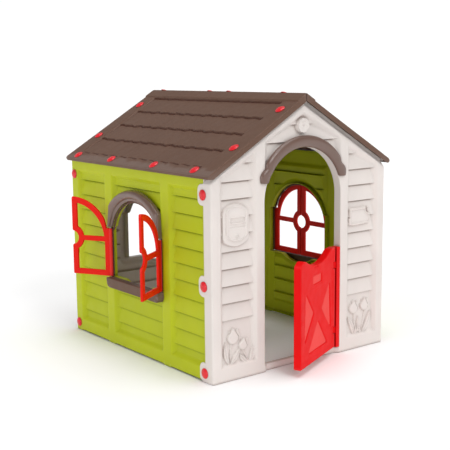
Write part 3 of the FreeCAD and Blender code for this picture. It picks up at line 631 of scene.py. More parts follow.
def clock_face(x, z, under):
    """A thick disc with two hands and four marks."""
    cx, cz, radius = -5, 1042, 31
    away = disc(x, z, cx, cz, radius)
    level = 3.5 - 2.0 * np.clip(-away - 4, 0, 2.5) / 2.5
    for end in ((cx - 9, cz + 15), (cx + 6, cz + 19)):
        level = level + raised(taper(x, z, (cx, cz), end, 2.8, 2.0), 2.0, 1.8)
    for turn in range(4):
        mark_x = cx + 24 * math.sin(turn * math.pi / 2)
        mark_z = cz + 24 * math.cos(turn * math.pi / 2)
        level = level + raised(disc(x, z, mark_x, mark_z, 2.6), 1.2, 1.5)
    return laid_over(under, level, away, fall=6)


def front_height(u, z):
    x = np.clip(u, -HALF_WIDTH, HALF_WIDTH)
    height = swell(x, z) * 0.6
    for side in (LEFT, RIGHT):
        floor_height = bay_floor(x, z, side)
        bay = sunk(front_bay(x, z, side), floor_height)
        height = np.minimum(height, bay + swell(x, z) * 0.6)
    gable = sunk(gable_bay(x, z), lapped(z))
    height = np.minimum(height, gable)
    height = np.where(x < -200, letter_box(x, z, height), height)
    height = np.where(x > 200, notice_board(x, z, height), height)
    height = np.where(z > 980, clock_face(x, z, height), height)
    below_roof = -under_line(np.abs(x), z, (0, GABLE_TOP), -SLOPE)
    chamfer_start, chamfer_wide, chamfer_slant = 29, 15, 0.9
    return height - chamfer_slant * np.clip(chamfer_start - below_roof, 0, chamfer_wide)


def wrapped(u, v, height):
    """The front wall's face, turned round both upright corners onto the sides."""
    flat = HALF_WIDTH - POST_ROUND
    past = np.abs(u) - flat
    arc = POST_ROUND * math.pi / 2
    turn = np.clip(past / arc, 0, 1) * math.pi / 2
    straight = np.maximum(past - arc, 0)
    x = np.minimum(np.abs(u), flat) + POST_ROUND * np.sin(turn)
    y = POST_ROUND * (1 - np.cos(turn)) + straight
    x = (x + height * np.sin(turn)) * np.sign(u)
    y = FRONT_FACE + y - height * np.cos(turn)
    return np.stack([x, y, v], -1) * MM


UNROLLED = HALF_WIDTH - POST_ROUND + POST_ROUND * math.pi / 2   # where the side begins
RETURN_END = UNROLLED + RETURN_DEPTH - POST_ROUND
EAR_END = UNROLLED + EAR_REACH - POST_ROUND


def front_outline(u, z):
    """The unrolled panel: returns with three ears each, the gable and the doorway."""
    across = np.abs(u)
    gable = under_line(np.minimum(across, HALF_WIDTH), z, (0, GABLE_TOP), -SLOPE)
    shape = np.maximum(across - RETURN_END, -z)
    for middle in EARS:
        lowest = middle == EARS[0]
        low = 0 if lowest else middle - EAR_HALF
        ear = rectangle(across, z, RETURN_END - 60, low, EAR_END, middle + EAR_HALF, 26)
        shape = np.minimum(shape, ear) if lowest else soft_min(shape, ear, 10)
    door = np.minimum(rectangle(u, z, -DOOR_HALF, DOOR_SILL, DOOR_HALF, DOOR_SPRING),
                      disc(u, z, 0, DOOR_SPRING, DOOR_HALF))
    return np.maximum(np.maximum(np.maximum(shape, -z), gable), -door)


def front_base(u, z):
    """The flanges reach 40 behind the face, and only a few millimetres at the ears."""
    ear, flange, change = 3.4, 40, 15
    share = np.clip((HALF_WIDTH - POST_ROUND - np.abs(u)) / change, 0, 1)
    return -(ear + (flange - ear) * share)


def front_wall():
    edge, coarse, fine = 4.0, 5.6, 2.6
    right_columns = [DOOR_HALF + edge, RETURN_END - edge]
    for step in (-2, 1, 4, 8, 12, 18, 25, 31):
        right_columns += [BAY_INNER + step, BAY_OUTER - step, GABLE_BAY_HALF - step]
    right_columns += [HALF_WIDTH - POST_ROUND + step for step in (0, 3.5, 7, 10.6, 14.2)]
    right_columns += list(np.arange(290, 444, fine))
    columns = both_ways(right_columns)
    columns += list(np.arange(-40, 32, 3.0))
    rows = row_marks(BAY_LOW, GABLE_BAY_APEX) + [DOOR_SILL - edge, BAY_LOW, BAY_LOW + 6]
    rows += [m + s for m in EARS for s in (-EAR_HALF + edge, EAR_HALF - edge)]
    for low, high in ((60, 222), (562, 742), (1006, 1080)):     # flowers, plates, clock
        rows += list(np.arange(low, high, fine))
    u_lines = grid_lines(-EAR_END + edge, EAR_END - edge, coarse, columns)
    v_lines = grid_lines(edge, GABLE_TOP - edge, coarse, rows)
    piece = panel("front_wall_shell", wrapped, u_lines, v_lines, front_outline, front_height,
                  front_base, edge_round=edge, keep=0.42)
    finish_piece(piece, "house", "white", "front_wall")


# ---- back and side walls

WINDOW_HALF, WINDOW_LOW, WINDOW_SHOULDER = 207, 330, 562
WINDOW_CENTRE, WINDOW_RADIUS = 501, 203


def window_hole(x, z, low=WINDOW_LOW):
    """Straight jambs and the whole disc of the round top, which is a little narrower than
    the jambs. The disc also reaches below them, so the lower edge bulges down."""
    jambs = rectangle(x, z, -WINDOW_HALF, low, WINDOW_HALF, WINDOW_SHOULDER)
    return np.minimum(jambs, disc(x, z, 0, WINDOW_CENTRE, WINDOW_RADIUS))


def window_marks(edge):
    return both_ways([WINDOW_HALF + edge]), [WINDOW_LOW - edge, WINDOW_SHOULDER + edge]


def back_wall():
    edge = 4.0
    stile, shoulder, bay_slope = 58, BAY_OUTER_TOP, math.atan(0.52)
    reach = BACK_HALF - stile

    def outline(x, z):
        box = rectangle(x, z, -BACK_HALF, 0, BACK_HALF, 2000)
        gable = under_line(np.abs(x), z, (0, GABLE_TOP), -SLOPE)
        return np.maximum(np.maximum(box, gable), -window_hole(x, z))

    def height(x, z):
        box = rectangle(x, z, -reach, BAY_LOW, reach, 2000, 7)
        top = under_line(np.abs(x), z, (reach, shoulder), -bay_slope)
        border = 22 - window_hole(x, z)
        bay = soft_max(soft_max(box, top, 16), border, 12)
        return np.minimum(swell(x, z), sunk(bay, lapped(z)))

    columns, rows = window_marks(edge)
    columns += both_ways([reach - s for s in (-2, 2, 6, 11, 18, 25)])
    rows += row_marks(BAY_LOW, GABLE_TOP) + [BAY_LOW, BAY_LOW + 6]
    place = flat_place((0, BACK_FACE, 0), (-1, 0, 0), (0, 0, 1), (0, 1, 0))
    piece = panel("back_wall_shell", place,
                  grid_lines(-BACK_HALF + edge, BACK_HALF - edge, 6.5, columns),
                  grid_lines(edge, GABLE_TOP - edge, 6.5, rows), outline, height, -40.0,
                  edge_round=edge, keep=0.5)
    finish_piece(piece, "house", "white", "back_wall")


def side_wall(word, side):
    edge = 4.0
    front, back = SIDE_FRONT, BACK_FACE
    bays = ((front + 8, -262), (-200, 200), (262, back - 57))
    low, high = BAY_LOW, 807
    stile_middle, stile_half, lift = 232, 26, 5

    def outline(u, z):
        """The lower edge is lifted between the feet, which are under the stiles and ends."""
        y = u * side
        between = ramp(np.abs(np.abs(y) - stile_middle), stile_half, stile_half + 2)
        foot = lift * between * ramp(-np.abs(y), -back + 40, -back + 70)
        box = np.maximum(rectangle(y, z, front, 0, back, SIDE_TOP), foot - z)
        return np.maximum(box, -window_hole(y, z))

    def height(u, z):
        y = u * side
        result = swell(y, z)
        for start, end in bays:
            bay = rectangle(y, z, start, low, end, high, 9)
            bay = soft_max(bay, 8 - window_hole(y, z), 6)
            result = np.minimum(result, sunk(bay, lapped(z)) + swell(y, z) * 0.5)
        return result

    steps = (-2, 1, 4, 8, 12, 18, 25)
    columns, rows = window_marks(edge)
    for start, end in bays:
        columns += [start + s for s in steps] + [end - s for s in steps]
    columns = [c * side for c in columns]
    rows += row_marks(low, high) + [low, low + 6, high, high - 6, high - 14]
    ends = sorted(((front + edge) * side, (back - edge) * side))
    piece = panel(word + "_wall_shell", side_place(side), grid_lines(ends[0], ends[1], 5.6, columns),
                  grid_lines(edge, SIDE_TOP - edge, 5.6, rows), outline, height, -26.0,
                  edge_round=edge, keep=0.36)
    finish_piece(piece, "house", "green", word + "_wall")


# ---- roof

ROOF_EDGE, EAVE_EDGE, EAVE_ROUND, VERGE_ROUND = 24, 16, 9, 4
SHINGLE_LOW, SHINGLE_PITCH, SHINGLE_ROWS = 61, 121.5, 4
SHINGLE_FRONT, SHINGLE_BACK = -487, 492
SHINGLE_WIDE = 81.6
RIDGE_BAND, RIDGE_RISE = 57, 5


def roof_height(y, v):
    """Four rows of shingles let into a plain border, and the raised band at the ridge."""
    result = swell(y * 0.8, v) * 0.8
    column = (y - SHINGLE_FRONT) / SHINGLE_WIDE
    number = np.floor(column)
    in_column = column - number
    wave = 2.4 * np.sin(2 * np.pi * in_column) + 1.2 * np.sin(number * 2.7) \
        + 0.8 * np.sin(4 * np.pi * in_column + number)
    across = np.minimum(y - SHINGLE_FRONT, SHINGLE_BACK - y)
    for row in range(SHINGLE_ROWS):
        low = SHINGLE_LOW + SHINGLE_PITCH * row
        high = low + SHINGLE_PITCH
        to_top = (high - wave * (1 if row < SHINGLE_ROWS - 1 else 0.3)) - v
        depth = 1.2 + 6.8 * np.clip(1 - to_top / SHINGLE_PITCH, 0, 1) ** 1.3
        depth = depth + crest(to_top - 2.5, 3.0, 2.6)
        lip = ramp(to_top, -1.4, 0.8)
        in_row = ramp(v - low + wave * (1 if row else 0), -1.0, 1.0)
        ends = ramp(across, -0.5, 2.0)
        seam = np.abs(((column + 0.5 * (row % 2)) % 1) - 0.5) * SHINGLE_WIDE
        seam = groove(seam, 0.8, 1.8) * ramp(across, 4, 12)
        result = result + (seam - depth) * lip * in_row * ends
    dashes = np.abs(v - SHINGLE_LOW + 4 + 2.0 * np.sin(2 * np.pi * in_column))
    dash_on = (np.abs(in_column - 0.5) < 0.40) & (across > 0)
    result = result + np.where(dash_on, groove(dashes, 5.0, 2.6), 0)
    rows_top = SHINGLE_LOW + SHINGLE_PITCH * SHINGLE_ROWS
    in_rows = ramp(v, SHINGLE_LOW + 4, SHINGLE_LOW + 8) * ramp(rows_top - v, 0, 3)
    result = result + groove(np.abs(SHINGLE_BACK - 1.5 - y), 4.0, 3.0) * in_rows
    band = ramp(v, ROOF_RUN - RIDGE_BAND - 2, ROOF_RUN - RIDGE_BAND + 5)
    return result * (1 - band) + RIDGE_RISE * band


def roof_panel(word, side):
    edge = float(EAVE_ROUND)

    def place(u, v, height):
        y = u * side
        near_ridge = np.clip((v - ROOF_RUN + RIDGE_BAND) / RIDGE_BAND, 0, 1)
        v = v + height * TAN * near_ridge
        x = ((ROOF_RUN - v) * COS + height * SIN) * side
        z = ROOF_TOP - (ROOF_RUN - v) * SIN + height * COS
        return np.stack([x, y, z], -1) * MM

    def outline(u, v):
        return rectangle(u, v, -ROOF_HALF, 0, ROOF_HALF, ROOF_RUN)

    def rounds(u, v):
        return np.where(v < edge * 1.2, EAVE_ROUND,
                        np.where(v > ROOF_RUN - edge * 1.2, 0.6, VERGE_ROUND))

    rows = [SHINGLE_LOW + SHINGLE_PITCH * row + 1.5 * step
            for row in range(SHINGLE_ROWS + 1) for step in range(-4, 5)]
    rows += [ROOF_RUN - RIDGE_BAND + s for s in (-4, -2, 0, 2, 4)]
    columns = []
    for step in (0, 3, 7, 12):
        columns += [(SHINGLE_FRONT + step) * side, (SHINGLE_BACK - step) * side]
    piece = panel(word + "_roof_shell", place,
                  grid_lines(-ROOF_HALF + edge, ROOF_HALF - edge, 7.0, columns),
                  grid_lines(edge, ROOF_RUN - edge, 6.5, rows), outline,
                  lambda u, v: roof_height(u * side, v),
                  lambda u, v: np.where(v < edge * 1.5, -float(EAVE_EDGE), -float(ROOF_EDGE)),
                  edge_round=edge, rounds=rounds, keep=0.45)
    finish_piece(piece, "house", "brown", word + "_roof")


# ---- hoods and sills

def hood(name, place, centre, inner, outer_at, foot, section, steps, end_round=5.0):
    """A curved hood: a section of (share across, height) swept round a centre, its feet
    cut level at foot. outer_at(angle) is the outer radius, with 0 straight up."""
    rise = foot - centre
    end_angle = math.acos(rise / inner)
    extra = [1 - e * end_round / (inner * end_angle) for e in (0.0, 0.08, 0.3, 1.0)]
    shares = [s for s in np.linspace(-1, 1, steps) if abs(s) < extra[-1]]
    shares = sorted(set(shares + extra + [-e for e in extra]))
    rings = []
    middle = np.mean(section, axis=0)
    for share in shares:
        gap = (1 - abs(share)) * inner * end_angle
        pull = end_round - math.sqrt(max(0.0, end_round ** 2 - max(0.0, end_round - gap) ** 2))
        points = []
        for across, height in section:
            inset = min(1.0, pull / 22)
            a = across + (middle[0] - across) * inset
            h = height + (middle[1] - height) * inset * 0.6
            outer = outer_at(share * end_angle)
            radius = inner + (outer - inner) * a
            angle = share * math.acos(min(1.0, rise / radius))
            points.append((radius * math.sin(angle), centre + radius * math.cos(angle), max(h, 0)))
        points = np.array(points)
        rings.append(place(points[:, 0], points[:, 1], points[:, 2]))
    return shade(loft(name, rings))


def round_section(reach, lip_share, lip_height, power=2.6, count=18):
    """Half-round section from the inner edge to the outer one, with a low lip inside."""
    points = [(0.0, 0.0)]
    if lip_share:
        points += [(0.0, lip_height - 2), (0.02, lip_height - 0.6), (0.05, lip_height)]
    for i in range(count + 1):
        t = math.pi * i / count
        across = lip_share + (1 - lip_share) * (0.5 - 0.5 * math.cos(t))
        tall = reach * abs(math.sin(t)) ** (2 / power)
        if tall > (lip_height if across < lip_share + 0.2 else 0):
            points.append((across, tall))
    points.append((1.0, 0.0))
    return points[::-1]


def door_hood():
    inner, outer, side_at, reach, foot = 219, 270, 239, 17, 812
    place = flat_place((0, FRONT_FACE, 0), (1, 0, 0), (0, 0, 1), (0, -1, 0))

    def outer_at(angle):
        """Round over the top, pinched at the shoulder and upright along the legs."""
        leg = side_at / max(abs(math.sin(angle)), 0.3)
        pinch = 9 * math.exp(-((math.degrees(abs(angle)) - 54) / 3.2) ** 2)
        return min(outer - pinch, leg)

    piece = hood("door_hood", place, DOOR_SPRING, inner, outer_at, foot,
                 round_section(reach, 0.0, 0.0, power=2.2), 84)
    finish_piece(piece, "house", "brown", "door_arch", material="hood")


def window_hood(word, side):
    inner, top, knee, knee_half, foot, reach = 203, 753, 686, 189, 566, 26
    rise = top - knee
    big = (knee_half ** 2 + rise ** 2) / (2 * rise)
    offset = WINDOW_CENTRE - (top - big)
    foot_half, notch = 208, 4
    lean = (foot_half - knee_half - notch) / (knee - foot)

    def outer_at(angle):
        down = math.cos(angle)
        arc = -offset * down + math.sqrt((offset * down) ** 2 - offset ** 2 + big ** 2)
        across = abs(math.sin(angle)) + lean * down
        straight = (knee_half + notch + (knee - WINDOW_CENTRE) * lean) / max(across, 1e-6)
        return min(arc, straight)

    piece = hood(word + "_window_hood", side_place(side), WINDOW_CENTRE, inner, outer_at, foot,
                 round_section(reach, 0.2, 9.0, power=3.0), 60)
    finish_piece(piece, "house", "brown", word + "_window_arch", material="hood")


def window_bead(word, side):
    """The thin stop round the opening that a closed pair of shutters lies over."""
    near, deep, wide, edge = 2.0, 5.0, 10.0, 0.8

    def outline(u, z):
        """A band along the edge of the hole, cut off just over the sill."""
        hole = window_hole(u, z, WINDOW_LOW - 60)
        return np.maximum(np.maximum(hole - edge, -hole - wide), WINDOW_LOW + 1 - z)

    piece = panel(word + "_window_bead", side_place(side),
                  grid_lines(-WINDOW_HALF, WINDOW_HALF, 4),
                  grid_lines(WINDOW_LOW, WINDOW_CENTRE + WINDOW_RADIUS, 4), outline,
                  lambda u, z: -near + 0 * u, 0.0, edge_round=edge,
                  back=lambda u, z: -deep + 0 * u, keep=0.5)
    finish_piece(piece, "house", "brown")


def window_sill(word, side):
    half, low, high, reach, corner = 214, 282, 329.5, 34, 20

    def outline(x, z):
        box = rectangle(x, z, -half, low, half, high + 60, corner)
        return np.maximum(box, z - high)

    def height(x, z):
        return reach - 3 * ramp(high - z, 0, 40) + 0 * x

    edge = 5.0
    piece = panel(word + "_sill", side_place(side), grid_lines(-half + edge, half - edge, 5),
                  grid_lines(low + edge, high - edge, 5), outline, height, 0.0,
                  edge_round=edge, keep=0.5)
    finish_piece(piece, "house", "brown", word + "_window_sill")


# ---- shutters

def turned(origin, angle):
    """Frame place of a leaf drawn with its hinge at u = 0 and turned by angle degrees."""
    turn = math.radians(angle)
    u_axis = (math.cos(turn), math.sin(turn), 0)
    out_axis = (math.sin(turn), -math.cos(turn), 0)
    return flat_place(origin, u_axis, (0, 0, 1), out_axis)


def lathe(name, profile, segments, matrix):
    """A turned solid from (radius, height) pairs, bottom to top."""
    rings = []
    for radius, height in profile:
        turn = np.arange(segments) * 2 * math.pi / segments
        rings.append(np.stack([radius * np.cos(turn), radius * np.sin(turn),
                               np.full(segments, float(height))], -1) * MM)
    piece = loft(name, rings)
    piece.data.transform(matrix)
    return shade(piece, 32)


def upright_rod(name, foot, radius, tall, chamfer, segments):
    """A round rod that stands on foot, with both ends chamfered."""
    profile = [(0, 0), (radius - chamfer, 0), (radius, chamfer), (radius, tall - chamfer),
               (radius - chamfer, tall), (0, tall)]
    return lathe(name, profile, segments, Matrix.Translation(Vector(foot) * MM))


SHUTTER_OPEN = {"front": 123, "back": 150}
SHUTTER_AXIS, SHUTTER_OUT, SHUTTER_WIDE, SHUTTER_BAR = 203, 8.3, 201, 27
SHUTTER_LOW, SHUTTER_SHOULDER, SHUTTER_RADIUS, SHUTTER_THICK = 332, 558, 198, 12
BITE_AT, BITE_RADIUS, BARREL = 506, 32, 7.8


def shutter_outline(u, z):
    """An open frame: a cross bar, a quarter-round top, and a round bite at its free edge."""
    leaf_box = rectangle(u, z, 0, SHUTTER_LOW, SHUTTER_WIDE, SHUTTER_SHOULDER, 3)
    crown = np.maximum(disc(u, z, SHUTTER_AXIS, WINDOW_CENTRE, SHUTTER_RADIUS),
                       np.maximum(u - SHUTTER_WIDE, SHUTTER_SHOULDER - 30 - z))
    crown = np.maximum(crown, (20.5 - u) * 0.97 + (z - SHUTTER_SHOULDER) * 0.247)
    bite = disc(u, z, SHUTTER_WIDE, BITE_AT, BITE_RADIUS)
    solid = np.maximum(np.minimum(leaf_box, crown), -bite)
    ring = disc(u, z, SHUTTER_WIDE, BITE_AT, BITE_RADIUS + SHUTTER_BAR)
    inner = disc(u, z, SHUTTER_AXIS, WINDOW_CENTRE, SHUTTER_RADIUS - SHUTTER_BAR)
    post, rail = SHUTTER_WIDE - SHUTTER_BAR, 12
    low_pane = rectangle(u, z, SHUTTER_BAR + 3, SHUTTER_LOW + SHUTTER_BAR, post, BITE_AT - rail)
    top_pane = np.maximum(np.maximum(inner, u - post), BITE_AT + rail - z)
    panes = np.minimum(soft_max(low_pane, -ring, 4), soft_max(top_pane, -ring, 4))
    return np.maximum(solid, -panes)


def shutter(word, side, name, end):
    edge = 3.0
    opened = SHUTTER_OPEN[name] if side == LEFT else 0
    angle = (90 if end == LEFT else -90) + opened * side * end
    origin = ((SIDE_FACE + SHUTTER_OUT) * side, SHUTTER_AXIS * end, 0)
    place = turned(origin, angle)
    half = SHUTTER_THICK / 2
    crown = WINDOW_CENTRE + math.sqrt(SHUTTER_RADIUS ** 2 - (SHUTTER_AXIS - SHUTTER_WIDE) ** 2)

    def face(u, z):
        return half + groove(shutter_outline(u, z) + 9, 0.9, 2.2)

    marks_u = [SHUTTER_BAR + 3 - edge, SHUTTER_WIDE - SHUTTER_BAR + edge, SHUTTER_WIDE - edge]
    marks_z = [SHUTTER_LOW + SHUTTER_BAR - edge, BITE_AT - 12 + edge, BITE_AT + 12 - edge,
               SHUTTER_SHOULDER - edge]
    leaf_piece = panel("leaf", place, grid_lines(edge, SHUTTER_WIDE - edge, 3.2, marks_u),
                       grid_lines(SHUTTER_LOW + edge, crown - edge, 3.2, marks_z),
                       shutter_outline, face, 0.0, edge_round=edge,
                       back=lambda u, z: -face(u, z), keep=0.5)
    barrel = upright_rod("barrel", (origin[0], origin[1], SHUTTER_LOW), BARREL,
                         SHUTTER_SHOULDER - SHUTTER_LOW, 1.2, 20)
    piece = join("%s_shutter_%s_leaf" % (word, name), [leaf_piece, barrel])
    finish_piece(piece, "%s_%s_shutter" % (word, name), "shutter_red",
                 "%s_shutter_%s" % (word, name))


# ---- door

DOOR_OPEN, DOOR_AXIS_X, DOOR_AXIS_Y = 24.7, 182, 549.5
DOOR_WIDE, DOOR_THICK, DOOR_LOW, DOOR_HIGH, DOOR_DIP = 385, 34, 32, 492, 452
EYES, EYE_TALL = (96, 396), 30


def triangle(x, y, corners, corner_round):
    """Distance to a rounded triangle."""
    middle_x = sum(c[0] for c in corners) / 3
    middle_y = sum(c[1] for c in corners) / 3
    result = None
    for i in range(3):
        (ax, ay), (bx, by) = corners[i], corners[(i + 1) % 3]
        length = math.hypot(bx - ax, by - ay)
        normal_x, normal_y = (by - ay) / length, (ax - bx) / length
        if (middle_x - ax) * normal_x + (middle_y - ay) * normal_y > 0:
            normal_x, normal_y = -normal_x, -normal_y
        away = (x - ax) * normal_x + (y - ay) * normal_y
        result = away if result is None else soft_max(result, away, corner_round)
    return result


def door_outline(s, z):
    """s is the distance from the hinge. Horns at both ends of the top, a dip between."""
    box = rectangle(s, z, 0, DOOR_LOW, DOOR_WIDE, DOOR_HIGH, 4)
    start, end = 46, 335
    chord, deep = (end - start) / 2, DOOR_HIGH - DOOR_DIP
    radius = (deep ** 2 + chord ** 2) / (2 * deep)
    dip = disc(s, z, (start + end) / 2, DOOR_DIP + radius, radius)
    chamfer = under_line(s, z, (DOOR_WIDE - 33, DOOR_HIGH), -math.atan2(20, 38))
    return soft_max(soft_max(box, -dip, 10), chamfer, 6)


DOOR_FIELDS = (((42, 132), (58, 350), (150, 248)), ((342, 132), (238, 248), (326, 350)),
               ((84, 80), (192, 206), (300, 80)))


def door_fields(s, z):
    """Distance to the nearest sunk field of the cross brace, or to the name plate."""
    nearest = rectangle(s, z, 156, 372, 250, 410, 5)
    for corners in DOOR_FIELDS:
        nearest = np.minimum(nearest, triangle(s, z, corners, 7))
    return nearest


def door_face(s, z):
    half = DOOR_THICK / 2
    level = half - 0.3 + 0.25 * np.sin(s * 0.02) * np.sin(z * 0.017)
    level = level - 3.6 * ramp(-door_fields(s, z), -1.2, 2.2)
    plate = rectangle(s, z, 150, 366, 256, 416, 7)
    level = level + groove(plate, 1.4, 1.8)
    frame_line = -rectangle(s, z, 26, 62, DOOR_WIDE - 24, 352, 12)
    level = level - 1.0 * ramp(frame_line, -1, 2) * (z < 352)
    slot = rectangle(s, z, 196, 441, 244, 449, 4)
    level = level - 2.6 * ramp(-slot, -1, 2.5)
    facet = ramp(s, DOOR_WIDE - 60, DOOR_WIDE - 4) * ramp(z, 462, 490)
    return level - 3.0 * facet


def door_place(s, z, height):
    """The leaf is drawn from its hinge towards the left, so its height is mirrored."""
    return turned((DOOR_AXIS_X, -DOOR_AXIS_Y, 0), 180 + DOOR_OPEN)(s, z, -height)


def door_inlay():
    """The frosted fields, a skin over the floor of each sunk one."""
    def outline(s, z):
        return door_fields(s, z) + 2.0

    def level(s, z):
        return door_face(s, z) + 0.35

    piece = panel("door_fields", door_place, grid_lines(30, 350, 5),
                  grid_lines(70, 412, 5), outline, level, 0.0, edge_round=0.3,
                  back=lambda s, z: level(s, z) - 0.9, keep=0.7)
    face_outwards(piece)
    finish_piece(piece, "door", "door_red", material="door_field")


def door_back(s, z):
    """The inner face: a sunk field inside a frame, with one cross rib."""
    half = DOOR_THICK / 2
    border = -door_outline(s, z)
    field = ramp(border, 18, 22) * ramp(np.abs(z - 238), 6, 10)
    return -half + 12 * field


def door_leaf():
    edge, hinge_gap, play = 4.0, 15.5, 2

    def outline(s, z):
        result = np.maximum(door_outline(s, z), 2 - s)
        for bottom in EYES:
            gap = rectangle(s, z, -40, bottom - play, hinge_gap, bottom + EYE_TALL + play, 2)
            result = np.maximum(result, -gap)
        return result

    rows = [b + s for b in EYES for s in (-play - edge, EYE_TALL + play + edge)]
    columns = grid_lines(2 + edge, DOOR_WIDE - edge, 4, [hinge_gap + edge])
    leaf_piece = panel("leaf", door_place, columns,
                       grid_lines(DOOR_LOW + edge, DOOR_HIGH - edge, 4, rows),
                       outline, door_face, 0.0, edge_round=edge, back=door_back, keep=0.5)
    face_outwards(leaf_piece)
    stops = [DOOR_LOW]
    for bottom in EYES:
        stops += [bottom - play, bottom + EYE_TALL + play]
    stops.append(DOOR_HIGH)
    pieces = [leaf_piece]
    for low, high in zip(stops[::2], stops[1::2]):
        pieces.append(upright_rod("knuckle", (DOOR_AXIS_X, -DOOR_AXIS_Y, low),
                                  DOOR_THICK / 2, high - low, 2, 28))
    piece = join("half_door", pieces)
    finish_piece(piece, "door", "door_red", "door_leaf")


def hinge_post():
    """The post and its eyes: the CAD shape with its hard edges rounded."""
    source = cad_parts["door_hinge_post"]
    piece = bpy.data.objects.new("hinge_post", source.data.copy())
    bpy.context.scene.collection.objects.link(piece)
    with editing(piece) as work:
        bmesh.ops.remove_doubles(work, verts=work.verts, dist=WELD)
        bmesh.ops.dissolve_limit(work, angle_limit=math.radians(1), verts=work.verts,
                                 edges=work.edges)
    soft = piece.modifiers.new("soft_edges", "BEVEL")
    soft.width = 2.0 * MM
    soft.segments = 3
    soft.limit_method = "ANGLE"
    soft.angle_limit = math.radians(32)
    apply_modifier(piece, soft)
    finish_piece(shade(piece), "house", "door_red", "door_hinge_post")


# ---- plugs

PLUG_PROFILE = [(0, -3.5), (7.8, -3.5), (7.8, 0), (21.2, 0), (22, 0.8), (22, 2.2), (21.4, 2.8),
                (19.6, 4.0), (17.4, 5.3), (16.6, 5.1), (15.8, 5.8), (12, 7.4), (7, 8.7),
                (4.6, 9.0), (3.6, 8.2), (0, 8.0)]
CAP_TALL = 9.5 * MM                 # of a CAD plug, from its seat to its top


def separate_solids(node):
    """The points of each solid in a CAD node, as one array per solid."""
    work = bmesh.new()
    work.from_mesh(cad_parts[node].data)
    bmesh.ops.remove_doubles(work, verts=work.verts, dist=WELD)
    seen, solids = set(), []
    for start in work.verts:
        if start.index in seen:
            continue
        island, stack = [], [start]
        seen.add(start.index)
        while stack:
            vert = stack.pop()
            island.append(vert.co.copy())
            for edge in vert.link_edges:
                other = edge.other_vert(vert)
                if other.index not in seen:
                    seen.add(other.index)
                    stack.append(other)
        solids.append(np.array(island))
    work.free()
    return solids


def plug_group(node):
    """Domed plugs, one at each solid of the CAD node, square to the panel they hold."""
    away = plug_direction(node)
    turn = Vector((0, 0, 1)).rotation_difference(Vector(away)).to_matrix().to_4x4()
    plugs = []
    for points in separate_solids(node):
        height = points @ np.array(away)
        seat_height = height.max() - CAP_TALL
        centre = points[np.abs(height - seat_height) < 0.6 * MM].mean(0)
        seat = Vector(centre) + Vector(away) * (seat_height - float(np.dot(centre, away)))
        plugs.append(lathe("plug", PLUG_PROFILE, 36, Matrix.Translation(seat) @ turn))
    piece = join(node + "_caps", plugs)
    finish_piece(piece, "house", "plug_red", node)


def plug_direction(node):
    side = LEFT if "left" in node else RIGHT
    if node.startswith(("front", "back")):
        return (side, 0, 0)
    return (SIN * side, 0, COS)


def colour_pin(node):
    """A CAD pin shown as it is, in plain grey."""
    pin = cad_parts[node]
    pin.data.materials.clear()
    pin.data.materials.append(MATERIALS["pin_grey"])


# ---- the house

front_wall()
back_wall()
for word, side in (("left", LEFT), ("right", RIGHT)):
    side_wall(word, side)
    roof_panel(word, side)
    window_hood(word, side)
    window_bead(word, side)
    window_sill(word, side)
    for name, end in (("front", LEFT), ("back", RIGHT)):
        shutter(word, side, name, end)
        colour_pin("%s_shutter_%s_pin" % (word, name))
door_hood()
door_leaf()
door_inlay()
hinge_post()
colour_pin("door_hinge_pin")
for node in sorted(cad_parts):
    if node.endswith("_plugs"):
        plug_group(node)


# ---- studio

def floor():
    """A white sweep with a faint painted glow, which fades near the walls into a painted contact
    shadow.
    """
    side = 60.0
    corners = [(-side, -side, 0), (side, -side, 0), (side, side, 0), (-side, side, 0)]
    ground = mesh_object("studio_floor", corners, [(0, 1, 2, 3)])
    material = bpy.data.materials.new("studio_floor")
    material.use_nodes = True
    shader = material.node_tree.nodes["Principled BSDF"]
    set_inputs(shader, {"Base Color": (0.96, 0.96, 0.96, 1), "Emission Color": (1, 1, 1, 1),
                        "Roughness": 0.9, "Specular IOR Level": 0.1})
    nodes, links = material.node_tree.nodes, material.node_tree.links
    # Painted glow and contact shadow: the emission is cut back where ambient occlusion finds the
    # house close by.
    contact_shadow_ao = nodes.new("ShaderNodeAmbientOcclusion")
    contact_shadow_ao.samples = 8
    contact_shadow_ao.inputs["Distance"].default_value = 0.22
    painted_glow_and_shadow = nodes.new("ShaderNodeMapRange")
    set_inputs(painted_glow_and_shadow, {"From Min": 0.55, "To Max": 0.13})
    links.new(contact_shadow_ao.outputs["AO"], painted_glow_and_shadow.inputs["Value"])
    links.new(painted_glow_and_shadow.outputs["Result"], shader.inputs["Emission Strength"])
    ground.data.materials.append(material)


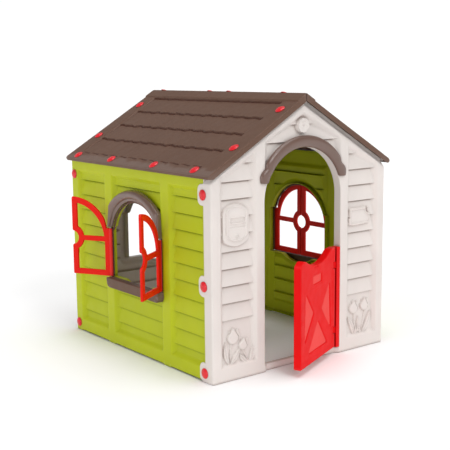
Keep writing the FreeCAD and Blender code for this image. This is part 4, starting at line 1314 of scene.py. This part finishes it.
def sun(name, toward, strength, softness):
    """Even light that travels along toward; softness is the lamp's width in degrees."""
    data = bpy.data.lights.new(name, "SUN")
    data.energy = strength
    data.angle = math.radians(softness)
    lamp = bpy.data.objects.new(name, data)
    lamp.rotation_euler = Vector(toward).to_track_quat("-Z", "Y").to_euler()
    bpy.context.scene.collection.objects.link(lamp)


def sky():
    """A white studio: bright near the horizon and dimmer overhead."""
    world = bpy.data.worlds.new("studio")
    world.use_nodes = True
    nodes, links = world.node_tree.nodes, world.node_tree.links
    backdrop = nodes["Background"]
    backdrop.inputs["Color"].default_value = (1, 1, 1, 1)
    place = nodes.new("ShaderNodeTexCoord")
    parts = nodes.new("ShaderNodeSeparateXYZ")
    shade_up = nodes.new("ShaderNodeMapRange")
    shade_up.interpolation_type = "SMOOTHSTEP"
    set_inputs(shade_up, {"From Min": 0.10, "From Max": 0.28, "To Min": 1.02, "To Max": 0.38})
    links.new(place.outputs["Generated"], parts.inputs["Vector"])
    links.new(parts.outputs["Z"], shade_up.inputs["Value"])
    links.new(shade_up.outputs["Result"], backdrop.inputs["Strength"])
    bpy.context.scene.world = world


def studio():
    floor()
    sky()
    sun("key", (0.05, 0.78, -0.62), 0.62, 18)
    sun("top", (-0.08, 0.16, -1.0), 1.35, 50)
    sun("side", (0.93, 0.25, -0.24), 0.38, 30)
    bpy.context.scene.view_settings.view_transform = "Standard"


def camera():
    """The view: from the front left and about as high as the ridge, with a long lens."""
    place = Vector((-2.7173, -3.5169, 1.2782))
    azimuth, elevation, roll = math.radians(-37.78), math.radians(9.39), math.radians(-0.55)
    look = Vector((-math.sin(azimuth) * math.cos(elevation),
                   math.cos(azimuth) * math.cos(elevation), -math.sin(elevation)))
    level = look.cross(Vector((0, 0, 1))).normalized()
    up = level.cross(look)
    right = level * math.cos(roll) + up * math.sin(roll)
    up = right.cross(look)
    data = bpy.data.cameras.new("camera")
    data.sensor_width = 36
    data.lens = 75.25
    data.clip_end = 200
    eye = bpy.data.objects.new("camera", data)
    turn = Matrix((right, up, -look)).transposed().to_4x4()
    eye.matrix_world = Matrix.Translation(place) @ turn
    bpy.context.scene.collection.objects.link(eye)
    bpy.context.scene.camera = eye


studio()
camera()
